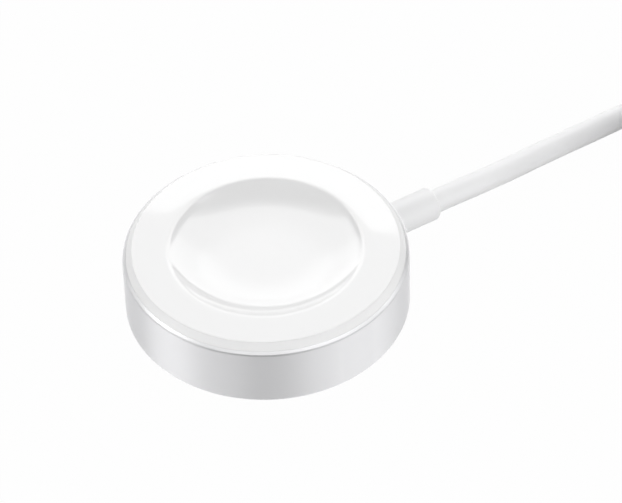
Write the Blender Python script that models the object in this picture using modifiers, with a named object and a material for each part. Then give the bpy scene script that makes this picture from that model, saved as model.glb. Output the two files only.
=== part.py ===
"""Flat round magnetic charger for a watch, with its cable, modelled in metres with +Z up.

The origin is at the middle of the puck's underside, and the cable leaves along +X.
Levels are stacked up from the floor, and radii are built out from the magnet.
"""

import math

import bmesh
import bpy
from mathutils import Vector

# Clearance between neighbouring pieces
GAP = 0.0003

# Magnet and its yoke, in the middle of the puck
MAGNET_RADIUS = 0.0046
MAGNET_EDGE = 0.0002
YOKE_THICKNESS = 0.0005
YOKE_EDGE = 0.0001
MAGNET_TO_FERRITE = 0.0006
MAGNET_TO_BOARD = 0.00035

# Wound charging coil and the ferrite behind it
COIL_WIRE = 0.00042
COIL_PITCH = 0.00055
COIL_TURNS = 6
COIL_STEPS_PER_TURN = 22
COIL_MARGIN = 0.0005
COIL_TO_COVER = 0.00043
LEAD_REACH = 0.00035
LEAD_NOTCH_RADIUS = 0.00055
LEAD_AZIMUTH = 45.0
FERRITE_THICKNESS = 0.0005
FERRITE_MARGIN = 0.0004

# Circuit board, pad and the parts on the board
PAD_THICKNESS = 0.0003
PAD_MARGIN = 0.0006
BOARD_THICKNESS = 0.0005
BAY_WIDTH = 0.0028
CHIP_HEIGHT = 0.0006
CHIP_EDGE = 0.00006
CONTROLLER_SIDE = 0.0032
BRIDGE_SIDE = 0.0028
REGULATOR_SIDE = 0.0020
CRYSTAL_SIZE = (0.0016, 0.0020)
SENSOR_SIZE = (0.0008, 0.0012)
INDUCTOR_SIZE = (0.0020, 0.0025, 0.0012)
CAPACITOR_SIZE = (0.00125, 0.0020, 0.00125)
BAY_PART_EDGE = 0.00012
CHIP_AZIMUTHS = {
    "controller_chip": 180.0,
    "bridge_driver_1": 125.0,
    "bridge_driver_2": 235.0,
    "regulator_chip": 80.0,
    "crystal": 275.0,
    "temperature_sensor": 152.0,
}
INDUCTOR_AZIMUTH = 290.0
RESONANCE_AZIMUTHS = (135.0, 150.0, 165.0, 180.0)
INPUT_AZIMUTHS = (45.0, 60.0)

# Housing: turned cup with a ledge for the cover
FLOOR_THICKNESS = 0.0008
WALL_THICKNESS = 0.0015
LEDGE_WIDTH = 0.0006
LEDGE_OVER_HOLE = 0.0003
FOOT_FILLET = 0.0003
RIM_CHAMFER = 0.00025

# Cover: moulded plate with a dish, a flat ring, a sloping edge and a skirt
COVER_WALL = 0.0008
DISH_RADIUS = 0.0098
DISH_DEPTH = 0.00125
DISH_LIP = 0.00105
DISH_POWER = 4
EDGE_SLOPE_WIDTH = 0.00065
EDGE_SLOPE_HEIGHT = 0.00065
EDGE_ROUNDING = 0.0002
BRIM_INSET = 0.0004
SKIRT_THICKNESS = 0.0006
ADHESIVE_THICKNESS = 0.0002
ADHESIVE_WIDTH = 0.0004
ADHESIVE_INSET = 0.00005

# Strain relief and the cable's end inside the puck
CABLE_DIAMETER = 0.0024
NECK_RADIUS = 0.0013
FLANGE_RADIUS = 0.0018
FLANGE_THICKNESS = 0.0008
SLEEVE_RADIUS = 0.0017
SLEEVE_LENGTH = 0.00505
SLEEVE_ROUNDING = 0.0004
STUB_LENGTH = 0.0015
CRIMP_WALL = 0.0003
CRIMP_LENGTH = 0.0009
CRIMP_SETBACK = 0.0003
WIRE_DIAMETERS = {
    "power_wire": 0.0005,
    "data_wire_1": 0.0004,
    "data_wire_2": 0.0004,
    "ground_wire": 0.0005,
}
WIRE_SPACING = 0.0006
WIRE_RUN = 0.0026
WIRE_SPREAD = (1.0, 1.23, 1.88, 2.4)

# Cable laid on the table, wound into a coil, and its plug
COIL_CENTRE = (0.0560, -0.01455)
COIL_MIDDLE_RADIUS = 0.0134
TURN_PITCH = 0.00245
COIL_COLUMNS = 3
COIL_ROWS = 4
TIE_THICKNESS = 0.0004
TIE_WIDTH = 0.0040
TIE_AZIMUTH = -60.0
ROUTE_SPACING = 0.0030
PLUG_AXIS_X = 0.0789
PLUG_START_Y = 0.0004
PLUG_BODY_SIZE = (0.0105, 0.0170, 0.0054)
PLUG_BODY_EDGE = 0.0006
BOOT_LENGTH = 0.0040
BOOT_RADII = (0.0015, 0.0019)
BOOT_TAPER = 0.7
SHELL_SIZE = (0.00825, 0.00665, 0.0024)
SHELL_WALL = 0.0003
INSERT_WALL = 0.0003
INSERT_SETBACK = 0.0003
INSERT_EDGE = 0.0003
SLOT_DEPTH = 0.0048

# Facets round a full turn
FINE_STEPS = 64
MIDDLE_STEPS = 48
COARSE_STEPS = 24
DISH_STEPS = (7, 4)
UNDERSIDE_STEPS = (4, 2)
EDGE_STEPS = 2
FILLET_STEPS = 3
BODY_END_STEPS = 8
SHELL_END_STEPS = 6
LEAD_BEND = (90.0, 60.0, 30.0, 0.0)
MERGE_DISTANCE = 0.00001

# Levels, stacked up from the floor of the housing
PAD_BOTTOM = FLOOR_THICKNESS + GAP
BOARD_BOTTOM = PAD_BOTTOM + PAD_THICKNESS + GAP
BOARD_TOP = BOARD_BOTTOM + BOARD_THICKNESS
CHIP_BOTTOM = BOARD_TOP + GAP
FERRITE_BOTTOM = CHIP_BOTTOM + CHIP_HEIGHT + GAP
WIRE_LEVEL = FERRITE_BOTTOM + FERRITE_THICKNESS + GAP + COIL_WIRE / 2
DISH_UNDERSIDE = WIRE_LEVEL + COIL_WIRE / 2 + COIL_TO_COVER
DISH_FLOOR = DISH_UNDERSIDE + COVER_WALL
TOTAL_HEIGHT = DISH_FLOOR + DISH_DEPTH
BRIM_LEVEL = TOTAL_HEIGHT - EDGE_SLOPE_HEIGHT
RIM_LEVEL = BRIM_LEVEL - GAP
EXIT_LEVEL = FLOOR_THICKNESS + GAP + FLANGE_RADIUS
HOLE_RADIUS = NECK_RADIUS + GAP
LEDGE_LEVEL = EXIT_LEVEL + HOLE_RADIUS + LEDGE_OVER_HOLE
ADHESIVE_BOTTOM = LEDGE_LEVEL + GAP
SKIRT_BOTTOM = ADHESIVE_BOTTOM + ADHESIVE_THICKNESS + GAP

# Radii, built out from the magnet
FERRITE_HOLE = MAGNET_RADIUS + MAGNET_TO_FERRITE
BOARD_HOLE = MAGNET_RADIUS + MAGNET_TO_BOARD
COIL_INNER = FERRITE_HOLE + COIL_MARGIN
COIL_OUTER = COIL_INNER + COIL_TURNS * COIL_PITCH
FERRITE_RADIUS = COIL_OUTER + FERRITE_MARGIN
BOARD_RADIUS = FERRITE_RADIUS + BAY_WIDTH
INNER_RADIUS = BOARD_RADIUS + GAP
HOUSING_RADIUS = INNER_RADIUS + WALL_THICKNESS
REBATE_RADIUS = INNER_RADIUS + LEDGE_WIDTH
BRIM_RADIUS = HOUSING_RADIUS - BRIM_INSET
RING_EDGE_RADIUS = BRIM_RADIUS - EDGE_SLOPE_WIDTH
SKIRT_RADIUS = REBATE_RADIUS - GAP
CHIP_RADIUS = (BOARD_HOLE + FERRITE_RADIUS) / 2

# Stations of the cable's inner end along +X
FLANGE_OUTSIDE = INNER_RADIUS - GAP
FLANGE_INSIDE = FLANGE_OUTSIDE - FLANGE_THICKNESS
STUB_END = FLANGE_INSIDE - STUB_LENGTH
SLEEVE_START = HOUSING_RADIUS + GAP
SLEEVE_END = SLEEVE_START + SLEEVE_LENGTH
CABLE_RADIUS = CABLE_DIAMETER / 2

# The bundle of turns on the table
COIL_LIFT = TIE_THICKNESS + GAP
BUNDLE_INNER = COIL_MIDDLE_RADIUS - (COIL_COLUMNS - 1) / 2 * TURN_PITCH - CABLE_RADIUS
BUNDLE_OUTER = COIL_MIDDLE_RADIUS + (COIL_COLUMNS - 1) / 2 * TURN_PITCH + CABLE_RADIUS
BUNDLE_TOP = COIL_LIFT + CABLE_DIAMETER + (COIL_ROWS - 1) * TURN_PITCH
PLUG_LEVEL = PLUG_BODY_SIZE[2] / 2

# Route from the strain relief to the coil, chosen by hand, in metres
FIRST_ROUTE = (
    (0.0215, 0.0000, 0.00290),
    (0.0240, 0.0000, 0.00285),
    (0.0270, 0.0002, 0.00260),
    (0.0305, 0.0007, 0.00210),
    (0.0340, 0.0012, 0.00165),
    (0.0380, 0.0015, 0.00135),
    (0.0420, 0.0016, 0.00130),
    (0.0450, 0.0016, 0.00140),
    (0.0470, 0.0016, 0.00155),
)

# Route from the coil to the plug, chosen by hand, in metres
LAST_ROUTE = (
    (0.0568, 0.0042, 0.0087),
    (0.0585, 0.0051, 0.0085),
    (0.0610, 0.0064, 0.0080),
    (0.0640, 0.0078, 0.0072),
    (0.0670, 0.0089, 0.0063),
    (0.0700, 0.0094, 0.0053),
    (0.0734, 0.0087, 0.0044),
    (0.0763, 0.0068, 0.0036),
    (0.0782, 0.0039, 0.0030),
)


def clear_scene():
    """Removes every object that is in the scene."""
    for old in list(bpy.data.objects):
        bpy.data.objects.remove(old, do_unlink=True)


def new_collection(name):
    """Makes a collection under the scene's own."""
    collection = bpy.data.collections.new(name)
    bpy.context.scene.collection.children.link(collection)
    return collection


def new_material(name, colour, roughness, metallic=0.0):
    """Makes a Principled material of one colour."""
    material = bpy.data.materials.new(name)
    material.use_nodes = True
    shader = material.node_tree.nodes["Principled BSDF"]
    shader.inputs["Base Color"].default_value = (*colour, 1.0)
    shader.inputs["Roughness"].default_value = roughness
    shader.inputs["Metallic"].default_value = metallic
    return material


def add_object(name, data, material, collection):
    """Links a mesh or a curve as a named object with its material."""
    thing = bpy.data.objects.new(name, data)
    if material is not None:
        data.materials.append(material)
    collection.objects.link(thing)
    return thing


def turned(name, profile, steps, material, collection):
    """Turns a profile of (radius, height) points about Z. It runs down the outer side."""
    mesh = bpy.data.meshes.new(name)
    edges = [(i, i + 1) for i in range(len(profile) - 1)]
    mesh.from_pydata([(radius, 0.0, height) for radius, height in profile], edges, [])
    thing = add_object(name, mesh, material, collection)
    screw = thing.modifiers.new("turn", "SCREW")
    screw.axis = "Z"
    screw.angle = 2 * math.pi
    screw.steps = steps
    screw.render_steps = steps
    screw.use_merge_vertices = True
    screw.merge_threshold = MERGE_DISTANCE
    screw.use_smooth_shade = True
    return thing


def ring_profile(inner, outer, bottom, top):
    """Closed section of a plain ring."""
    return [(inner, top), (outer, top), (outer, bottom), (inner, bottom), (inner, top)]


def disc_profile(radius, bottom, top, edge):
    """Section of a disc with chamfered edges."""
    return [
        (0.0, top),
        (radius - edge, top),
        (radius, top - edge),
        (radius, bottom + edge),
        (radius - edge, bottom),
        (0.0, bottom),
    ]


def quarter_arc(centre, radius, start, end, count):
    """Points of an arc in the (radius, height) plane, both ends included."""
    points = []
    for i in range(count + 1):
        angle = math.radians(start + (end - start) * i / count)
        points.append((centre[0] + radius * math.cos(angle), centre[1] + radius * math.sin(angle)))
    return points


def box_mesh(name, size):
    """Mesh of a box about its own centre."""
    shape = bmesh.new()
    bmesh.ops.create_cube(shape, size=1.0)
    bmesh.ops.scale(shape, vec=size, verts=shape.verts)
    mesh = bpy.data.meshes.new(name)
    shape.to_mesh(mesh)
    shape.free()
    return mesh


def box(name, size, place, turn, material, collection, bevel=0.0):
    """A box with its scale in its mesh, turned about Z by degrees."""
    thing = add_object(name, box_mesh(name, size), material, collection)
    thing.location = place
    thing.rotation_euler = (0.0, 0.0, math.radians(turn))
    if bevel > 0.0:
        rounding = thing.modifiers.new("edges", "BEVEL")
        rounding.width = bevel
        rounding.segments = 1
    return thing


def tube(name, points, diameter, material, collection):
    """A round wire or cable with filled caps along straight pieces between points."""
    curve = bpy.data.curves.new(name, "CURVE")
    curve.dimensions = "3D"
    curve.bevel_depth = diameter / 2
    curve.bevel_resolution = 2
    curve.use_fill_caps = True
    spline = curve.splines.new("POLY")
    spline.points.add(len(points) - 1)
    for target, point in zip(spline.points, points):
        target.co = (*point, 1.0)
    return add_object(name, curve, material, collection)


def smooth_route(points, spacing):
    """Points about a spacing apart on a smooth curve through a route's points."""
    ends = [2 * Vector(points[0]) - Vector(points[1]), 2 * Vector(points[-1]) - Vector(points[-2])]
    knots = [ends[0]] + [Vector(p) for p in points] + [ends[1]]
    smooth = []
    for i in range(1, len(knots) - 2):
        before, start, end, after = knots[i - 1:i + 3]
        pieces = max(1, round((end - start).length / spacing))
        for k in range(pieces):
            t = k / pieces
            smooth.append(
                0.5 * (
                    2 * start
                    + (end - before) * t
                    + (2 * before - 5 * start + 4 * end - after) * t ** 2
                    + (3 * start - before - 3 * end + after) * t ** 3
                )
            )
    smooth.append(Vector(points[-1]))
    return smooth


def stadium(width, height, steps):
    """Outline of a bar with round ends, as (x, y) points."""
    radius = height / 2
    reach = width / 2 - radius
    points = []
    for side, first in ((1, -90.0), (-1, 90.0)):
        for i in range(steps + 1):
            angle = math.radians(first + 180.0 * i / steps)
            points.append((side * reach + radius * math.cos(angle), radius * math.sin(angle)))
    return points


def plate(name, outlines, thickness, material, collection, edge=0.0):
    """Flat outlines filled and extruded along their own Z, about the middle."""
    curve = bpy.data.curves.new(name, "CURVE")
    curve.dimensions = "2D"
    curve.fill_mode = "BOTH"
    curve.extrude = thickness / 2 - edge
    curve.bevel_depth = edge
    curve.bevel_resolution = 1
    curve.offset = -edge
    for outline in outlines:
        spline = curve.splines.new("POLY")
        spline.points.add(len(outline) - 1)
        for target, point in zip(spline.points, outline):
            target.co = (*point, 0.0, 1.0)
        spline.use_cyclic_u = True
    return add_object(name, curve, material, collection)


def cut(thing, cutter):
    """Cuts a hidden guide shape out of a piece."""
    cutter.hide_render = True
    cutter.display_type = "WIRE"
    boolean = thing.modifiers.new("cut_" + cutter.name, "BOOLEAN")
    boolean.operation = "DIFFERENCE"
    boolean.object = cutter


def rod_cutter(name, radius, length, place, along, collection):
    """Cylinder that cuts a round hole or notch along an axis."""
    shape = bmesh.new()
    bmesh.ops.create_cone(
        shape, cap_ends=True, segments=COARSE_STEPS, radius1=radius, radius2=radius, depth=length
    )
    turn = Vector((0, 0, 1)).rotation_difference(along)
    bmesh.ops.rotate(shape, verts=shape.verts, matrix=turn.to_matrix())
    mesh = bpy.data.meshes.new(name)
    shape.to_mesh(mesh)
    shape.free()
    cutter = add_object(name, mesh, None, collection)
    cutter.location = place
    return cutter


def polar(radius, azimuth, height):
    """Point at a radius, an azimuth in degrees and a height."""
    angle = math.radians(azimuth)
    return (radius * math.cos(angle), radius * math.sin(angle), height)


def dish_drop(radius):
    """How far the cover's face lies under the flat ring at a radius."""
    inflection = DISH_RADIUS - DISH_LIP
    steepest = DISH_DEPTH / (inflection / (DISH_POWER + 1) + DISH_LIP / 2)
    if radius >= DISH_RADIUS:
        return 0.0
    if radius >= inflection:
        return steepest * (DISH_RADIUS - radius) ** 2 / (2 * DISH_LIP)
    rise = steepest * inflection / (DISH_POWER + 1) * (radius / inflection) ** (DISH_POWER + 1)
    return DISH_DEPTH - rise


def dish_radii(count, lip_count):
    """Radii at which the dish is drawn, close together where it bends most."""
    inflection = DISH_RADIUS - DISH_LIP
    bowl = [inflection * math.sqrt(i / count) for i in range(count)]
    lip = [inflection + DISH_LIP * i / lip_count for i in range(lip_count + 1)]
    return bowl + lip


def make_housing(materials, parts, cutters):
    """Cup of the puck with its ledge, rounded foot, chamfered rim and cable hole."""
    profile = [
        (0.0, FLOOR_THICKNESS),
        (INNER_RADIUS, FLOOR_THICKNESS),
        (INNER_RADIUS, LEDGE_LEVEL),
        (REBATE_RADIUS, LEDGE_LEVEL),
        (REBATE_RADIUS, RIM_LEVEL),
        (HOUSING_RADIUS - RIM_CHAMFER, RIM_LEVEL),
        (HOUSING_RADIUS, RIM_LEVEL - RIM_CHAMFER),
    ]
    foot = (HOUSING_RADIUS - FOOT_FILLET, FOOT_FILLET)
    profile += quarter_arc(foot, FOOT_FILLET, 0.0, -90.0, FILLET_STEPS)
    profile.append((0.0, 0.0))
    housing = turned("housing", profile, FINE_STEPS, materials["aluminium"], parts)
    middle = INNER_RADIUS + WALL_THICKNESS / 2
    hole = rod_cutter(
        "cable_hole", HOLE_RADIUS, 3 * WALL_THICKNESS, (middle, 0.0, EXIT_LEVEL), Vector((1, 0, 0)), cutters
    )
    cut(housing, hole)


def make_cover(materials, parts):
    """White cover: dish, flat ring and sloping edge above, locating skirt below."""
    face = [(radius, TOTAL_HEIGHT - dish_drop(radius)) for radius in dish_radii(*DISH_STEPS)]
    slope = math.atan2(EDGE_SLOPE_HEIGHT, EDGE_SLOPE_WIDTH)
    setback = EDGE_ROUNDING * math.tan(slope / 2)
    centre = (RING_EDGE_RADIUS - setback, TOTAL_HEIGHT - EDGE_ROUNDING)
    edge_end = 90.0 - math.degrees(slope)
    edge = quarter_arc(centre, EDGE_ROUNDING, 90.0, edge_end, EDGE_STEPS)
    skirt = [
        (BRIM_RADIUS, BRIM_LEVEL),
        (SKIRT_RADIUS, BRIM_LEVEL),
        (SKIRT_RADIUS, SKIRT_BOTTOM),
        (SKIRT_RADIUS - SKIRT_THICKNESS, SKIRT_BOTTOM),
        (SKIRT_RADIUS - SKIRT_THICKNESS, TOTAL_HEIGHT - COVER_WALL),
    ]
    inside_radii = reversed(dish_radii(*UNDERSIDE_STEPS))
    underside = [(radius, TOTAL_HEIGHT - COVER_WALL - dish_drop(radius)) for radius in inside_radii]
    turned("cover", face + edge + skirt + underside, FINE_STEPS, materials["white_gloss"], parts)


def make_adhesive(materials, parts):
    """Thin ring that bonds the cover's skirt to the ledge."""
    inner = INNER_RADIUS + ADHESIVE_INSET
    section = ring_profile(
        inner, inner + ADHESIVE_WIDTH, ADHESIVE_BOTTOM, ADHESIVE_BOTTOM + ADHESIVE_THICKNESS
    )
    turned("cover_adhesive", section, MIDDLE_STEPS, materials["adhesive"], parts)


def make_magnet(materials, parts):
    """Disc magnet that centres the watch, and the steel disc behind it."""
    bottom = FLOOR_THICKNESS + GAP
    top = bottom + YOKE_THICKNESS
    yoke = disc_profile(MAGNET_RADIUS, bottom, top, YOKE_EDGE)
    turned("magnet_yoke", yoke, MIDDLE_STEPS, materials["steel"], parts)
    magnet = disc_profile(MAGNET_RADIUS, top + GAP, DISH_UNDERSIDE - GAP, MAGNET_EDGE)
    turned("magnet", magnet, MIDDLE_STEPS, materials["nickel"], parts)


def make_board(materials, parts, cutters):
    """Round board with a notch for the cable, on a soft pad."""
    pad = ring_profile(
        BOARD_HOLE + PAD_MARGIN, FERRITE_RADIUS, PAD_BOTTOM, PAD_BOTTOM + PAD_THICKNESS
    )
    turned("thermal_pad", pad, MIDDLE_STEPS, materials["pad"], parts)
    section = ring_profile(BOARD_HOLE, BOARD_RADIUS, BOARD_BOTTOM, BOARD_TOP)
    board = turned("circuit_board", section, MIDDLE_STEPS, materials["board"], parts)
    start = STUB_END - GAP
    end = BOARD_RADIUS + GAP
    size = (end - start, 2 * (FLANGE_RADIUS + GAP), 3 * BOARD_THICKNESS)
    place = ((start + end) / 2, 0.0, (BOARD_BOTTOM + BOARD_TOP) / 2)
    cut(board, box("cable_notch", size, place, 0.0, None, cutters))


def make_chips(materials, parts):
    """Flat packages on the board, under the ferrite."""
    footprints = {
        "controller_chip": (CONTROLLER_SIDE, CONTROLLER_SIDE),
        "bridge_driver_1": (BRIDGE_SIDE, BRIDGE_SIDE),
        "bridge_driver_2": (BRIDGE_SIDE, BRIDGE_SIDE),
        "regulator_chip": (REGULATOR_SIDE, REGULATOR_SIDE),
        "crystal": CRYSTAL_SIZE,
        "temperature_sensor": SENSOR_SIZE,
    }
    finishes = {"crystal": "steel", "temperature_sensor": "ceramic"}
    for name, footprint in footprints.items():
        azimuth = CHIP_AZIMUTHS[name]
        place = polar(CHIP_RADIUS, azimuth, CHIP_BOTTOM + CHIP_HEIGHT / 2)
        finish = materials[finishes.get(name, "chip")]
        box(name, (*footprint, CHIP_HEIGHT), place, azimuth, finish, parts, CHIP_EDGE)


def bay_part(name, size, azimuth, material, parts):
    """A taller part on the board's outer bay, beside the ferrite."""
    radius = FERRITE_RADIUS + GAP + size[0] / 2
    place = polar(radius, azimuth, CHIP_BOTTOM + size[2] / 2)
    box(name, size, place, azimuth, material, parts, BAY_PART_EDGE)


def make_bay_parts(materials, parts):
    """Inductor and capacitors round the edge of the board."""
    bay_part("inductor", INDUCTOR_SIZE, INDUCTOR_AZIMUTH, materials["ferrite"], parts)
    for number, azimuth in enumerate(RESONANCE_AZIMUTHS, 1):
        bay_part(f"resonance_capacitor_{number}", CAPACITOR_SIZE, azimuth, materials["ceramic"], parts)
    for number, azimuth in enumerate(INPUT_AZIMUTHS, 1):
        bay_part(f"input_capacitor_{number}", CAPACITOR_SIZE, azimuth, materials["ceramic"], parts)


def make_ferrite(materials, parts, cutters):
    """Ferrite ring behind the coil, notched where the coil's two leads pass."""
    section = ring_profile(FERRITE_HOLE, FERRITE_RADIUS, FERRITE_BOTTOM, FERRITE_BOTTOM + FERRITE_THICKNESS)
    ferrite = turned("ferrite_plate", section, MIDDLE_STEPS, materials["ferrite"], parts)
    middle = FERRITE_BOTTOM + FERRITE_THICKNESS / 2
    notches = (
        ("inner_lead_notch", COIL_INNER - LEAD_REACH, LEAD_AZIMUTH),
        ("outer_lead_notch", COIL_OUTER + LEAD_REACH, -LEAD_AZIMUTH),
    )
    for name, radius, azimuth in notches:
        place = polar(radius, azimuth, middle)
        cutter = rod_cutter(
            name, LEAD_NOTCH_RADIUS, 3 * FERRITE_THICKNESS, place, Vector((0, 0, 1)), cutters
        )
        cut(ferrite, cutter)


def lead_points(radius, reach, azimuth):
    """Bend of a lead from the coil's plane down to the board."""
    bend = abs(reach)
    points = []
    for angle in LEAD_BEND:
        turn = math.radians(angle)
        out = radius + reach * math.cos(turn)
        points.append(polar(out, azimuth, WIRE_LEVEL - bend + bend * math.sin(turn)))
    points.append(polar(radius + reach, azimuth, CHIP_BOTTOM))
    return points


def make_charging_coil(materials, parts):
    """Flat spiral of wire, with its inner and outer leads down to the board."""
    sweep = 360.0 * COIL_TURNS - 2 * LEAD_AZIMUTH
    count = round(sweep / 360.0 * COIL_STEPS_PER_TURN)
    spiral = []
    for i in range(1, count):
        share = i / count
        radius = COIL_INNER + (COIL_OUTER - COIL_INNER) * share
        spiral.append(polar(radius, LEAD_AZIMUTH + sweep * share, WIRE_LEVEL))
    inner = lead_points(COIL_INNER, -LEAD_REACH, LEAD_AZIMUTH)
    outer = lead_points(COIL_OUTER, LEAD_REACH, LEAD_AZIMUTH + sweep)
    route = list(reversed(inner)) + spiral + outer
    tube("charging_coil", route, COIL_WIRE, materials["copper"], parts)


def make_strain_relief(materials, parts):
    """Sleeve outside the wall, neck in its hole, flange inside and the cable's inner stub."""
    profile = [(0.0, SLEEVE_END)]
    corner = (SLEEVE_RADIUS - SLEEVE_ROUNDING, SLEEVE_END - SLEEVE_ROUNDING)
    profile += quarter_arc(corner, SLEEVE_ROUNDING, 90.0, 0.0, FILLET_STEPS)
    profile += [
        (SLEEVE_RADIUS, SLEEVE_START),
        (NECK_RADIUS, SLEEVE_START),
        (NECK_RADIUS, FLANGE_OUTSIDE),
        (FLANGE_RADIUS, FLANGE_OUTSIDE),
        (FLANGE_RADIUS, FLANGE_INSIDE),
        (CABLE_RADIUS, FLANGE_INSIDE),
        (CABLE_RADIUS, STUB_END),
        (0.0, STUB_END),
    ]
    relief = turned("strain_relief", profile, COARSE_STEPS, materials["white_soft"], parts)
    relief.location = (0.0, 0.0, EXIT_LEVEL)
    relief.rotation_euler = (0.0, math.pi / 2, 0.0)


def make_crimp(materials, parts):
    """Metal ring crimped round the cable's inner stub."""
    end = FLANGE_INSIDE - CRIMP_SETBACK
    inner = CABLE_RADIUS + GAP
    section = ring_profile(inner, inner + CRIMP_WALL, end - CRIMP_LENGTH, end)
    crimp = turned("cable_crimp", section, COARSE_STEPS, materials["steel"], parts)
    crimp.location = (0.0, 0.0, EXIT_LEVEL)
    crimp.rotation_euler = (0.0, math.pi / 2, 0.0)


def make_wires(materials, parts):
    """Insulated wires that fan out from the stub, under the ferrite, to the board."""
    start = STUB_END - GAP
    for number, (name, diameter) in enumerate(WIRE_DIAMETERS.items()):
        side = (number - (len(WIRE_DIAMETERS) - 1) / 2) * WIRE_SPACING
        level = CHIP_BOTTOM + diameter / 2
        step = WIRE_RUN / (len(WIRE_SPREAD) - 1)
        route = [(start - i * step, side * spread, level) for i, spread in enumerate(WIRE_SPREAD)]
        tube(name, smooth_route(route, WIRE_SPACING), diameter, materials[name], parts)


def make_cord(materials, parts):
    """Cable along the table, from the strain relief to the coil of its spare length."""
    start = (SLEEVE_END + GAP, 0.0, EXIT_LEVEL)
    route = smooth_route([start, *FIRST_ROUTE], ROUTE_SPACING)
    tube("cord", route, CABLE_DIAMETER, materials["white_soft"], parts)


def make_cord_coil(materials, parts):
    """Outer shape of the round coil that holds the spare length."""
    rounding = CABLE_RADIUS
    profile = []
    corners = (
        (BUNDLE_INNER + rounding, BUNDLE_TOP - rounding, 180.0, 90.0),
        (BUNDLE_OUTER - rounding, BUNDLE_TOP - rounding, 90.0, 0.0),
        (BUNDLE_OUTER - rounding, COIL_LIFT + rounding, 0.0, -90.0),
        (BUNDLE_INNER + rounding, COIL_LIFT + rounding, -90.0, -180.0),
    )
    for radius, height, first, last in corners:
        profile += quarter_arc((radius, height), rounding, first, last, EDGE_STEPS)
    profile.append(profile[0])
    coil = turned("cord_coil", profile, MIDDLE_STEPS, materials["white_soft"], parts)
    coil.location = (*COIL_CENTRE, 0.0)


def rounded_box_outline(low, high, radius, steps):
    """Outline of a rectangle with round corners, as (x, y) points."""
    points = []
    corners = (
        (high[0] - radius, high[1] - radius, 0.0),
        (low[0] + radius, high[1] - radius, 90.0),
        (low[0] + radius, low[1] + radius, 180.0),
        (high[0] - radius, low[1] + radius, 270.0),
    )
    for x, y, first in corners:
        points += quarter_arc((x, y), radius, first, first + 90.0, steps)
    return points


def make_coil_tie(materials, parts):
    """Strap closed round the bundle of turns."""
    chord = math.sqrt(BUNDLE_INNER ** 2 - (TIE_WIDTH / 2) ** 2)
    low = (chord - GAP, COIL_LIFT - GAP)
    high = (BUNDLE_OUTER + GAP, BUNDLE_TOP + GAP)
    inside = rounded_box_outline(low, high, CABLE_RADIUS, EDGE_STEPS)
    outer_low = (low[0] - TIE_THICKNESS, low[1] - TIE_THICKNESS)
    outer_high = (high[0] + TIE_THICKNESS, high[1] + TIE_THICKNESS)
    outside = rounded_box_outline(outer_low, outer_high, CABLE_RADIUS + TIE_THICKNESS, EDGE_STEPS)
    strap = plate("coil_tie", (outside, inside), TIE_WIDTH, materials["strap"], parts)
    strap.location = (*COIL_CENTRE, 0.0)
    strap.rotation_euler = (math.pi / 2, 0.0, math.radians(TIE_AZIMUTH))


def make_cord_end(materials, parts):
    """Last stretch of the cable, from the coil to the plug."""
    end = (PLUG_AXIS_X, PLUG_START_Y, PLUG_LEVEL)
    route = smooth_route([*LAST_ROUTE, end], ROUTE_SPACING)
    tube("cord_end", route, CABLE_DIAMETER, materials["white_soft"], parts)


def make_plug(materials, parts, cutters):
    """Plug that lies on the table: boot, body, metal shell and the insert inside it."""
    boot_start = PLUG_START_Y - GAP
    profile = [
        (0.0, 0.0),
        (BOOT_RADII[0], 0.0),
        (BOOT_RADII[1], -BOOT_LENGTH * BOOT_TAPER),
        (BOOT_RADII[1], -BOOT_LENGTH),
        (0.0, -BOOT_LENGTH),
    ]
    boot = turned("plug_boot", profile, COARSE_STEPS, materials["white_soft"], parts)
    boot.location = (PLUG_AXIS_X, boot_start, PLUG_LEVEL)
    boot.rotation_euler = (-math.pi / 2, 0.0, 0.0)

    body_start = boot_start - BOOT_LENGTH - GAP
    width, length, height = PLUG_BODY_SIZE
    outline = stadium(width, height, BODY_END_STEPS)
    body = plate("plug_body", (outline,), length, materials["white_gloss"], parts, PLUG_BODY_EDGE)
    body.location = (PLUG_AXIS_X, body_start - length / 2, PLUG_LEVEL)
    body.rotation_euler = (math.pi / 2, 0.0, 0.0)

    shell_start = body_start - length - GAP
    width, length, height = SHELL_SIZE
    inner_width = width - 2 * SHELL_WALL
    inner_height = height - 2 * SHELL_WALL
    outside = stadium(width, height, SHELL_END_STEPS)
    inside = stadium(inner_width, inner_height, SHELL_END_STEPS)
    shell = plate("plug_shell", (outside, inside), length, materials["steel"], parts)
    shell.location = (PLUG_AXIS_X, shell_start - length / 2, PLUG_LEVEL)
    shell.rotation_euler = (math.pi / 2, 0.0, 0.0)

    insert_length = length - INSERT_SETBACK
    size = (inner_width - 2 * GAP, insert_length, inner_height - 2 * GAP)
    place = (PLUG_AXIS_X, shell_start - insert_length / 2, PLUG_LEVEL)
    insert = box("plug_insert", size, place, 0.0, materials["chip"], parts, INSERT_EDGE)
    slot_size = (size[0] - 2 * INSERT_WALL, 2 * SLOT_DEPTH, size[2] - 2 * INSERT_WALL)
    slot_place = (PLUG_AXIS_X, shell_start - insert_length, PLUG_LEVEL)
    cut(insert, box("plug_slot", slot_size, slot_place, 0.0, None, cutters))


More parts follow.
